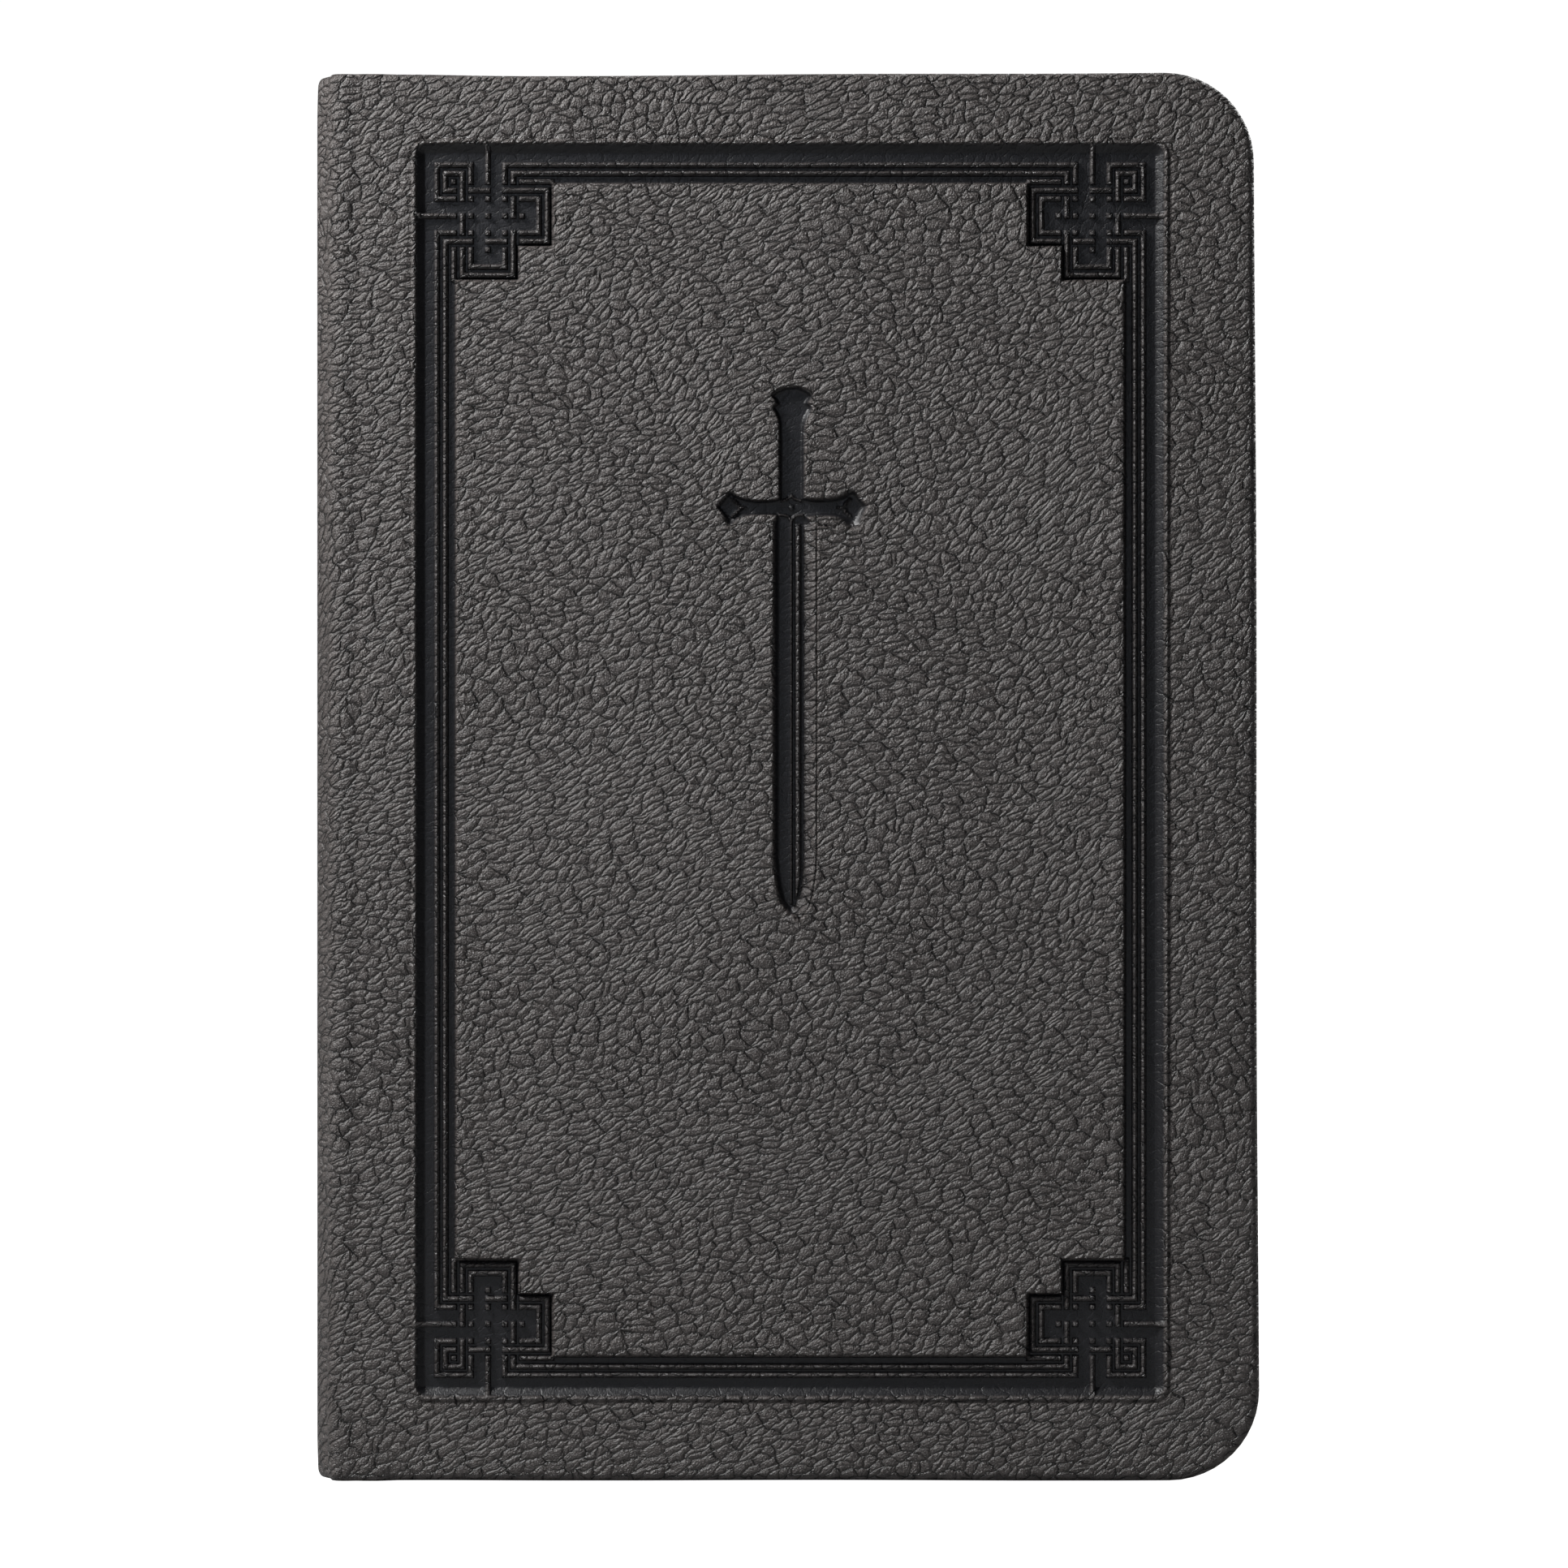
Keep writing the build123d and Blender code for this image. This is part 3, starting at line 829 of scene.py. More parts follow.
        # Painted shade: the creases and the cells' rims are mixed towards the near-black valley colour.
        grain_and_painted_shade = add_node(
            tree, "Mix", {"Factor": painted_cell_shade, 6: linear(self.crest), 7: linear(self.valley)}, data_type="RGBA"
        ).outputs[2]
        tone = add_node(
            tree,
            "MapRange",
            {"Value": mottle, "From Min": 0.3, "From Max": 0.7, "To Min": 0.95, "To Max": 1.05},
        ).outputs["Result"]
        toned = add_node(tree, "VectorMath", {0: grain_and_painted_shade, "Scale": tone}, operation="SCALE").outputs[0]
        # Lower pressed values bring in the lighter grain colour, which on the sword's right wall and the
        # raised lines is painted light.
        colour = add_node(
            tree, "Mix", {"Factor": pressed, 6: toned, 7: linear(self.pressed)}, data_type="RGBA"
        ).outputs[2]
        wire(tree, colour, whole, self.relief)
        dull = add_node(
            tree,
            "MapRange",
            {"Value": pores, "From Min": 0.3, "From Max": 0.7, "To Min": 0.33, "To Max": 0.48},
        ).outputs["Result"]
        gloss = add_node(tree, "Math", {0: pressed, 1: 0.02, 2: dull}, operation="MULTIPLY_ADD").outputs[0]
        tree.links.new(gloss, shader.inputs["Roughness"])
        return material


@dataclass(frozen=True)
class Paper:
    """Uncoated paper: its pulp gives a faint mottle and tooth."""

    name: str
    colour: str
    shade: str
    roughness: float = 0.85
    tooth: float = 0.02

    def make(self) -> bpy.types.Material:
        """Makes the material.

        Returns:
            The material.
        """
        # The eye gets a dull sheet with a cloudiness of about a millimetre.
        material, tree, _ = new_material(self.name, self.roughness, 1.5)
        place = add_node(tree, "TexCoord").outputs["Object"]
        pulp = add_node(tree, "TexNoise", {"Vector": place, "Scale": 0.9 / MM, "Detail": 5.0}).outputs["Fac"]
        colour = add_node(
            tree, "Mix", {"Factor": pulp, 6: linear(self.shade), 7: linear(self.colour)}, data_type="RGBA"
        )
        wire(tree, colour.outputs[2], pulp, self.tooth)
        return material


@dataclass(frozen=True)
class PageEdges:
    """The guillotined edges of thin leaves: fine lines, a leaf apart, drawn coarser so that they show."""

    name: str = "bible_paper_cut_edge"
    colour: str = "EDE6D3"
    gap: str = "B9AE95"
    leaf: float = 0.12
    relief: float = 0.03

    def make(self) -> bpy.types.Material:
        """Makes the material.

        Returns:
            The material.
        """
        # The eye gets fine streaks along the edge, and broader bands where sections lie a little proud. A
        # real leaf is 0.03 mm, too fine to show, so the streaks are drawn four times as coarse.
        material, tree, _ = new_material(self.name, 0.8, 1.5)
        place = add_node(tree, "TexCoord").outputs["Object"]
        leaves, bands = (
            add_node(tree, "TexNoise", {"Vector": streaks, "Scale": 1.0, "Detail": detail}).outputs["Fac"]
            for streaks, detail in (
                (self.streaks(tree, place, 0.06, 1 / self.leaf), 2.0),
                (self.streaks(tree, place, 0.02, 1.1), 1.0),
            )
        )
        both = add_node(tree, "Math", {0: leaves, 1: bands}).outputs[0]
        share = add_node(tree, "MapRange", {"Value": both, "From Min": 0.72, "From Max": 1.15}).outputs[0]
        colour = add_node(
            tree, "Mix", {"Factor": share, 6: linear(self.gap), 7: linear(self.colour)}, data_type="RGBA"
        )
        wire(tree, colour.outputs[2], leaves, self.relief)
        return material

    def streaks(self, tree: bpy.types.NodeTree, place: Any, along: float, across: float) -> Any:
        """Stretches places, so that noise on them runs along the edge.

        Args:
            tree: the material's nodes.
            place: the socket that gives the place on the object.
            along: waves per millimetre along the leaves.
            across: waves per millimetre across them.

        Returns:
            The socket that gives the stretched place.
        """
        scale = (along / MM, across / MM, along / MM)
        return add_node(tree, "VectorMath", {0: place, 1: scale}, operation="MULTIPLY").outputs[0]


@dataclass(frozen=True)
class PrintedPage:
    """Thin Bible paper with two columns of grey bars in place of print: no letters, only their weight."""

    name: str = "bible_paper_printed"
    paper: str = "F1EBDB"
    shade: str = "E6DDC8"
    ink: str = "4A4641"
    line_pitch: float = 2.6
    line_share: float = 0.42
    density: float = 0.62
    margin: float = 9.0
    gutter: float = 4.0

    def make(self) -> bpy.types.Material:
        """Makes the material, which reads places across and up the page from the Flat map.

        Returns:
            The material.
        """
        # The eye gets two grey columns with ragged word gaps. Real lines are about 2 mm apart, and these are
        # drawn a little coarser so that they show.
        material, tree, shader = new_material(self.name, 0.8, 1.5)
        low, high = corners("centre_leaf_2")
        width, height = high[0] - low[0], high[2] - low[2]
        flat = add_node(tree, "UVMap", uv_map="Flat").outputs[0]
        split = add_node(tree, "SeparateXYZ", {0: flat})
        across, up = split.outputs["X"], split.outputs["Y"]
        row = add_node(tree, "Math", {0: up, 1: self.line_pitch}, operation="DIVIDE").outputs[0]
        within_row = add_node(tree, "Math", {0: row}, operation="FRACT").outputs[0]
        number = add_node(tree, "Math", {0: row}, operation="FLOOR").outputs[0]
        spot = add_node(tree, "CombineXYZ", {0: across, 1: number}).outputs[0]
        words, pulp = (
            add_node(
                tree, "TexNoise", {"Vector": place, "Scale": scale, "Detail": detail}, noise_dimensions="2D"
            ).outputs["Fac"]
            for place, scale, detail in ((spot, 1.1, 1.0), (flat, 0.5, 4.0))
        )
        off, rise = (
            add_node(
                tree,
                "Math",
                {0: add_node(tree, "Math", {0: place, 1: size / 2}, operation="SUBTRACT").outputs[0]},
                operation="ABSOLUTE",
            ).outputs[0]
            for place, size in ((across, width), (up, height))
        )
        ink = self.density
        for value, limit, compare in (
            (within_row, self.line_share, "LESS_THAN"),
            (words, 0.43, "GREATER_THAN"),
            (off, self.gutter / 2, "GREATER_THAN"),
            (off, width / 2 - self.margin, "LESS_THAN"),
            (rise, height / 2 - self.margin, "LESS_THAN"),
        ):
            part = add_node(tree, "Math", {0: value, 1: limit}, operation=compare).outputs[0]
            ink = add_node(tree, "Math", {0: part, 1: ink}, operation="MULTIPLY").outputs[0]
        ground = add_node(
            tree, "Mix", {"Factor": pulp, 6: linear(self.shade), 7: linear(self.paper)}, data_type="RGBA"
        ).outputs[2]
        colour = add_node(tree, "Mix", {"Factor": ink, 6: ground, 7: linear(self.ink)}, data_type="RGBA")
        tree.links.new(colour.outputs[2], shader.inputs["Base Color"])
        return material


@dataclass(frozen=True)
class WoundThread:
    """Cotton thread wound in two colours over a core, as on a headband."""

    name: str = "cotton_headband_wound"
    dark: str = "2B2827"
    light: str = "CFC6B2"
    stripe: float = 1.9
    fluff: float = 0.05

    def make(self) -> bpy.types.Material:
        """Makes the material, which reads the way along the band from the Flat map.

        Returns:
            The material.
        """
        # The eye gets short dark and light bars with a soft, slightly furry surface.
        material, tree, _ = new_material(self.name, 0.75, 1.5, Sheen_Weight=0.3)
        flat = add_node(tree, "UVMap", uv_map="Flat").outputs[0]
        along = add_node(tree, "SeparateXYZ", {0: flat}).outputs["X"]
        turns = add_node(tree, "Math", {0: along, 1: self.stripe}, operation="DIVIDE").outputs[0]
        part = add_node(tree, "Math", {0: turns}, operation="FRACT").outputs[0]
        pick = add_node(tree, "Math", {0: part, 1: 0.5}, operation="GREATER_THAN").outputs[0]
        colour = add_node(
            tree, "Mix", {"Factor": pick, 6: linear(self.dark), 7: linear(self.light)}, data_type="RGBA"
        )
        fluff = add_node(
            tree, "TexNoise", {"Vector": flat, "Scale": 9.0, "Detail": 3.0}, noise_dimensions="2D"
        ).outputs["Fac"]
        wire(tree, colour.outputs[2], fluff, self.fluff)
        return material


@dataclass(frozen=True)
class PlainWeave:
    """Open cotton cloth or tape, unbleached, with its threads crossing square."""

    name: str
    colour: str
    shade: str
    pitch: float = 0.7
    relief: float = 0.08

    def make(self) -> bpy.types.Material:
        """Makes the material.

        Returns:
            The material.
        """
        # The eye gets a dull cream net of threads with darker gaps, a pitch apart.
        material, tree, _ = new_material(self.name, 0.9, 1.5, Sheen_Weight=0.2)
        place = add_node(tree, "TexCoord").outputs["Object"]
        scale = 1 / self.pitch / MM / (2 * math.pi)
        threads = [
            add_node(
                tree, "TexWave", {"Vector": place, "Scale": scale, "Distortion": 0.6}, bands_direction=axis
            ).outputs["Fac"]
            for axis in ("Y", "Z")
        ]
        weave = add_node(tree, "Math", {0: threads[0], 1: threads[1]}, operation="MAXIMUM").outputs[0]
        colour = add_node(
            tree, "Mix", {"Factor": weave, 6: linear(self.shade), 7: linear(self.colour)}, data_type="RGBA"
        )
        wire(tree, colour.outputs[2], weave, self.relief)
        return material


# ---------------------------------------------------------------- covers


@dataclass
class CoverLeather:
    """The leather of one cover: its face, its rounded edge and the turn-in, closed round the board."""

    sizes: BookSizes
    side: Side
    knot: KnotFrame | None = None
    sword: Sword | None = None
    band: float = 6.0
    edge_round: float = 1.15
    inner_round: float = 0.8
    sag: float = 0.28
    turn_in: float = 12.0
    step: float = 2.4
    columns: int = 40
    rows: int = 62
    seam_points: int = 66
    skived: float = 0.4

    def profile(self) -> list[tuple[float, float]]:
        """Gives the edge's section as inset from the outline and share of the thickness.

        Returns:
            The section's points, from the outer face to the inner one.
        """
        full = self.sizes.cover_thickness
        face = [(t, self.sag * (1 - t / self.band) ** 2 / full) for t in (self.band, 4.5, 3.2, 2.2, 1.6)]
        start = self.sag * (1 - self.edge_round / self.band) ** 2
        turns = np.radians(np.linspace(0, 90, 7))
        outer = [
            (self.edge_round * (1 - math.sin(a)), (start + self.edge_round * (1 - math.cos(a))) / full)
            for a in turns
        ]
        inner = [
            (self.inner_round * (1 - math.cos(a)), 1 - self.inner_round * (1 - math.sin(a)) / full)
            for a in turns
        ]
        return face + outer + inner + [(3.0, 1.0)]

    def outline(self, inset: float) -> tuple[Array, list[int]]:
        """Gives a line round the cover at an inset, from the seam over the fore-edge and back.

        Args:
            inset: distance in from the cover's edge.

        Returns:
            The points, and the numbers of the two that lie in the middle of a corner.
        """
        sizes, turns = self.sizes, 12
        radius = max(sizes.corner - inset, 1.2)
        right = sizes.edge_x - inset - radius
        top = sizes.height / 2 - inset - radius
        along = np.linspace(sizes.seam_x, right, self.columns)
        down = np.linspace(top, -top, self.rows)
        angles = np.linspace(math.pi / 2, 0, turns + 1)
        upper = np.stack([along, np.full(len(along), top + radius)], -1)[:-1]
        arc = np.stack([right + radius * np.cos(angles), top + radius * np.sin(angles)], -1)
        side = np.stack([np.full(len(down), right + radius), down], -1)[1:-1]
        half = np.vstack([upper, arc])
        mirrored = half[::-1] * (1, -1)
        marks = [len(upper) + turns // 2, len(half) + len(side) + turns // 2]
        return np.vstack([half, side, mirrored]), marks

    def lift(self, flat: Array, depth: Array) -> Array:
        """Turns places on the cover into points of the book.

        Args:
            flat: X, and distance above the cover's middle.
            depth: how far under the face.

        Returns:
            The points.
        """
        y = self.side.value * (self.sizes.out_y - depth)
        return np.stack([flat[..., 0], y, flat[..., 1] + self.sizes.middle], -1)

    def slack(self, flat: Array) -> Array:
        """Gives the soft cover's slight rise and fall, which fades out at the seam.

        Args:
            flat: places on the cover.

        Returns:
            The depth at each.
        """
        x, z = flat[..., 0], flat[..., 1]
        waves = 0.05 * np.sin(x / 9.3 + z / 31) + 0.04 * np.sin(z / 11.7 - x / 23 + 1.1)
        return waves * smooth((x - self.sizes.hinge_x - 1) / 8)

    def relief(self, flat: Array) -> tuple[Array, Array]:
        """Gives the cover's relief.

        Args:
            flat: places on the cover.

        Returns:
            Depth, and how pressed the leather is, at each, lowered where a lighter colour is painted as
            light.
        """
        depth, pressed = self.slack(flat), np.zeros(flat.shape[:-1])
        for tool in (self.knot, self.sword):
            if tool is not None:
                sunk, smoothness = tool.shape(flat[..., 0], flat[..., 1])
                depth, pressed = depth + sunk, np.maximum(pressed, smoothness)
        return depth, pressed

    def add_grid(self, parts: MeshParts, x: Array, z: Array) -> Array:
        """Adds a part of the face.

        Args:
            parts: the piece's mesh so far.
            x: places across that mesh lines cross.
            z: heights that they cross.

        Returns:
            The new points' numbers, row by row.
        """
        flat = np.stack(np.meshgrid(x, z), -1)
        depth, pressed = self.relief(flat)
        numbers = parts.add(self.lift(flat, depth), flat, pressed)
        parts.rows(numbers)
        return numbers

    def add_face(self, parts: MeshParts) -> list[Array]:
        """Adds the face inside the edge band.

        Args:
            parts: the piece's mesh so far.

        Returns:
            Its four sides as lines of points: top, fore-edge, bottom and spine side, clockwise.
        """
        knot = self.knot or KnotFrame()
        far = 15.4 if self.knot else 3.3
        lines = knot.lines(far) if self.knot else np.array([-3.9, 3.3])
        near = lines[lines <= 3.5] if self.knot else lines
        centre_x, centre_z = knot.centre
        left, right = centre_x - knot.half_width, centre_x + knot.half_width
        low, high = centre_z - knot.half_height, centre_z + knot.half_height
        unit = knot.unit
        wide = np.concatenate([
            left + lines * unit,
            spread(left + (lines[-1] + 1) * unit, right - (lines[-1] + 1) * unit, self.step),
            (right - lines * unit)[::-1],
        ])
        upper = self.add_grid(parts, wide, high - lines * unit)
        lower = self.add_grid(parts, wide, (low + lines * unit)[::-1])
        top, bottom = high - (lines[-1] + 0.9) * unit, low + (lines[-1] + 0.9) * unit
        sides = spread(top, bottom, self.step)
        across = [left + (near[-1] + 0.9) * unit, right - (near[-1] + 0.9) * unit]
        inner_x, inner_z = spread(*across, self.step), sides
        if self.sword:
            inner_x, inner_z = self.sword_lines(across, (top, bottom))
        bands = [
            self.add_grid(parts, left + near * unit, sides),
            self.add_grid(parts, inner_x, inner_z),
            self.add_grid(parts, (right - near * unit)[::-1], sides),
        ]
        parts.zip(bands[0][:, -1], bands[1][:, 0])
        parts.zip(bands[1][:, -1], bands[2][:, 0])
        parts.zip(upper[-1], np.concatenate([band[0] for band in bands]))
        parts.zip(np.concatenate([band[-1] for band in bands]), lower[0])
        fore = np.concatenate([upper[:, -1], bands[2][:, -1], lower[:, -1]])
        spine = np.concatenate([upper[:, 0], bands[0][:, 0], lower[:, 0]])[::-1]
        return [upper[0], fore, lower[-1][::-1], spine]

    def sword_lines(self, across: Sequence[float], down: Sequence[float]) -> tuple[Array, Array]:
        """Gives mesh lines for the middle of the cover, close together where the sword is.

        Args:
            across: the first and last place across.
            down: the highest and lowest place.

        Returns:
            The lines' places across, and their heights.
        """
        x0, z0 = self.sword.centre
        x = np.concatenate([
            spread(across[0], x0 - 10.6, self.step),
            x0 - np.arange(10, 3.0, -0.28),
            x0 + np.linspace(-2.9, 3.5, 65),
            x0 + np.arange(3.75, 10.1, 0.28),
            spread(x0 + 10.8, across[1], self.step),
        ])
        z = np.concatenate([
            spread(down[0], z0 + 16.6, self.step),
            z0 + np.arange(16.0, 9.8, -0.16),
            z0 + np.arange(9.5, 2.6, -0.9),
            z0 + np.arange(2.4, -2.9, -0.11),
            spread(z0 - 3.1, z0 - 41.0, 1.6),
            z0 - np.arange(41.4, 50.4, 0.2),
            spread(z0 - 51.5, down[1], self.step),
        ])
        return x, z

    def build(self, material: bpy.types.Material) -> bpy.types.Object:
        """Makes the piece.

        Args:
            material: its finish.

        Returns:
            The piece.
        """
        sizes, parts, word = self.sizes, MeshParts(), self.side.word
        face = self.add_face(parts)
        skive = 1 - self.skived / sizes.cover_thickness
        inside = sizes.skin / sizes.cover_thickness
        turned = [(self.turn_in, 1.0), (self.turn_in, skive), (sizes.skin, skive), (sizes.skin, inside)]
        rings, marks = [], []
        for inset, share in self.profile() + turned:
            flat, marks = self.outline(inset)
            fade = max(1 - inset / self.band, 0)
            depth = share * sizes.thickness(flat[..., 0]) + self.slack(flat)
            warped = flat + fade * self.warp(flat)
            rings.append(parts.add(self.lift(warped, depth), flat))
        parts.rows(np.stack(rings))
        parts.face(rings[-1])
        up = np.linspace(-1, 1, self.seam_points) * (sizes.height / 2 - self.band)
        seam = np.stack([np.full(self.seam_points, sizes.seam_x), up], -1)
        line = parts.add(self.lift(seam, self.slack(seam)), seam)
        line = np.concatenate([rings[0][-1:], line[1:-1], rings[0][:1]])
        around = [rings[0][: marks[0] + 1], rings[0][marks[0] : marks[1] + 1], rings[0][marks[1] :], line]
        for inner, outer in zip(face, around):
            parts.zip(inner, outer)
        piece = parts.build(f"{word}_cover_leather", material)
        finish_piece(piece, "cover_leather", f"{word}_cover_skin")
        blend_at(piece)
        return piece

    def warp(self, flat: Array) -> Array:
        """Gives how far the soft edge has drifted from a true rectangle.

        Args:
            flat: places on the cover.

        Returns:
            The drift across and up at each.
        """
        x, z = flat[..., 0] / self.sizes.edge_x, flat[..., 1] / (self.sizes.height / 2)
        drift_x = 0.28 * -z * smooth(x * 2) + 0.08 * np.sin(z * 5.1) * smooth(x * 2)
        drift_z = 0.3 * smooth((z + 0.2) * 2) * x * smooth((x + 0.87) * 3) + 0.05 * np.sin(x * 6.3 + 1)
        fade = smooth((flat[..., 0] - self.sizes.seam_x) / 10)
        return np.stack([drift_x, drift_z * fade], -1)


def spread(start: float, end: float, step: float) -> Array:
    """Gives evenly spaced places, about a step apart.

    Args:
        start: the first place.
        end: the last one.
        step: the spacing wanted.

    Returns:
        The places.
    """
    return np.linspace(start, end, max(int(abs(end - start) / step + 0.5), 1) + 1)


@dataclass
class SpineLeather:
    """The leather over the back and the joints, in three pieces."""

    sizes: BookSizes
    edge: list[tuple[float, float]]
    valley_y: float = 11.7
    swell: float = 0.55
    joint_groove: float = 0.16
    turn_back: float = 1.5
    valley_depth: float = 0.22
    round_over: float = 2.3
    bend: float = 4.0
    steps: int = 60

    def back(self, y: Array) -> Array:
        """Gives the rounded back's outside, which swells a little past its crown before it turns back.

        Args:
            y: distance from the book's middle.

        Returns:
            X at each distance.
        """
        swell = self.swell * smooth(y / 5)
        return self.sizes.crown_x - swell + self.turn_back * smooth((y - 8.2) / 4) ** 1.2

    def around(self) -> Array:
        """Gives the way from the middle of the back to the seam, as X and distance from the middle.

        Returns:
            The way's points, one row each.
        """
        sizes = self.sizes
        back_y = np.linspace(0, self.valley_y, self.steps // 2)
        on_back = np.stack([self.back(back_y), back_y], -1)
        start = on_back[-1]
        top = np.array([start[0] + self.round_over, sizes.out_y])
        corner = np.array([start[0] + 0.1, sizes.out_y + 0.05])
        share = np.linspace(0, 1, 15)[1:, None]
        rolled = (1 - share) ** 2 * start + 2 * share * (1 - share) * corner + share**2 * top
        flat_x = np.linspace(top[0], sizes.seam_x, 22)[1:]
        groove = self.joint_groove * np.exp(-(((flat_x - sizes.joint_x + 0.6) / 0.65) ** 2))
        return np.vstack([on_back, rolled, np.stack([flat_x, sizes.out_y - groove], -1)])

    def sweep(self, way: Array, outward: Array, travel: Array, name: str, material: Any) -> bpy.types.Object:
        """Carries the sheet's section along a way round the back.

        Args:
            way: X and Y of its outside.
            outward: the direction away from the pages at each place.
            travel: how far along the flat sheet each place lies.
            name: the piece's name.
            material: its finish.

        Returns:
            The piece.
        """
        sizes, parts = self.sizes, MeshParts()
        thick = float(sizes.thickness(np.array(sizes.seam_x)))
        half = sizes.height / 2
        middle = [(0.0, z) for z in np.linspace(-half + self.edge[0][0], half - self.edge[0][0], 66)[1:-1]]
        section = (
            middle
            + [(share * thick, half - inset) for inset, share in self.edge]
            + [(share * thick, inset - half) for inset, share in reversed(self.edge)]
        )
        depth, z = np.array(section).T
        xy = way[:, None, :] - outward[:, None, :] * depth[None, :, None]
        points = np.dstack([xy, np.broadcast_to(z + sizes.middle, xy.shape[:2])])
        flat = np.stack(np.broadcast_arrays(travel[:, None], z[None, :]), -1)
        numbers = parts.add(points, flat)
        parts.rows(numbers, closed=True)
        return parts.build(name, material)

    def build(self, material: bpy.types.Material) -> None:
        """Makes the back and the two joints.

        Args:
            material: their finish.
        """
        sizes, way = self.sizes, self.around()
        steps = np.linalg.norm(np.diff(way, axis=0), axis=1)
        travel = sizes.seam_x - (steps.sum() - np.concatenate([[0], np.cumsum(steps)]))
        along = np.gradient(way, axis=0)
        outward = np.stack([-along[:, 1], along[:, 0]], -1) / np.linalg.norm(along, axis=1)[:, None]
        outward[0] = (-1, 0)
        valley = self.steps // 2
        groove = self.valley_depth * np.exp(-(((way[:, 1] - self.valley_y - 0.1) / 0.6) ** 2))
        dented = way - outward * groove[:, None] * (way[:, 0] < sizes.crown_x + 3)[:, None]
        for side in Side:
            mirror = np.array([1, side.value])
            spread_to = travel[0] - (travel - travel[0]) if side is Side.BACK else travel
            ways = [part[valley - 1 :] for part in (dented * mirror, outward * mirror, spread_to)]
            piece = self.sweep(*ways, f"{side.word}_joint_leather", material)
            finish_piece(piece, "cover_leather", f"{side.word}_joint_skin")
            blend_at(piece)
        ways = [part[:valley] for part in (dented, outward, travel[:, None])]
        back = [ways[0][::-1] * (1, -1), ways[1][::-1] * (1, -1), ways[2][::-1]]
        ahead = [ways[0][1:], ways[1][1:], 2 * travel[0] - ways[2][1:]]
        whole = [np.vstack(pair) for pair in zip(back, ahead)]
        piece = self.sweep(whole[0], whole[1], whole[2][:, 0], "spine_leather", material)
        finish_piece(piece, "cover_leather", "spine_skin_front", "spine_skin_rear")
        blend_at(piece)


# ---------------------------------------------------------------- pages


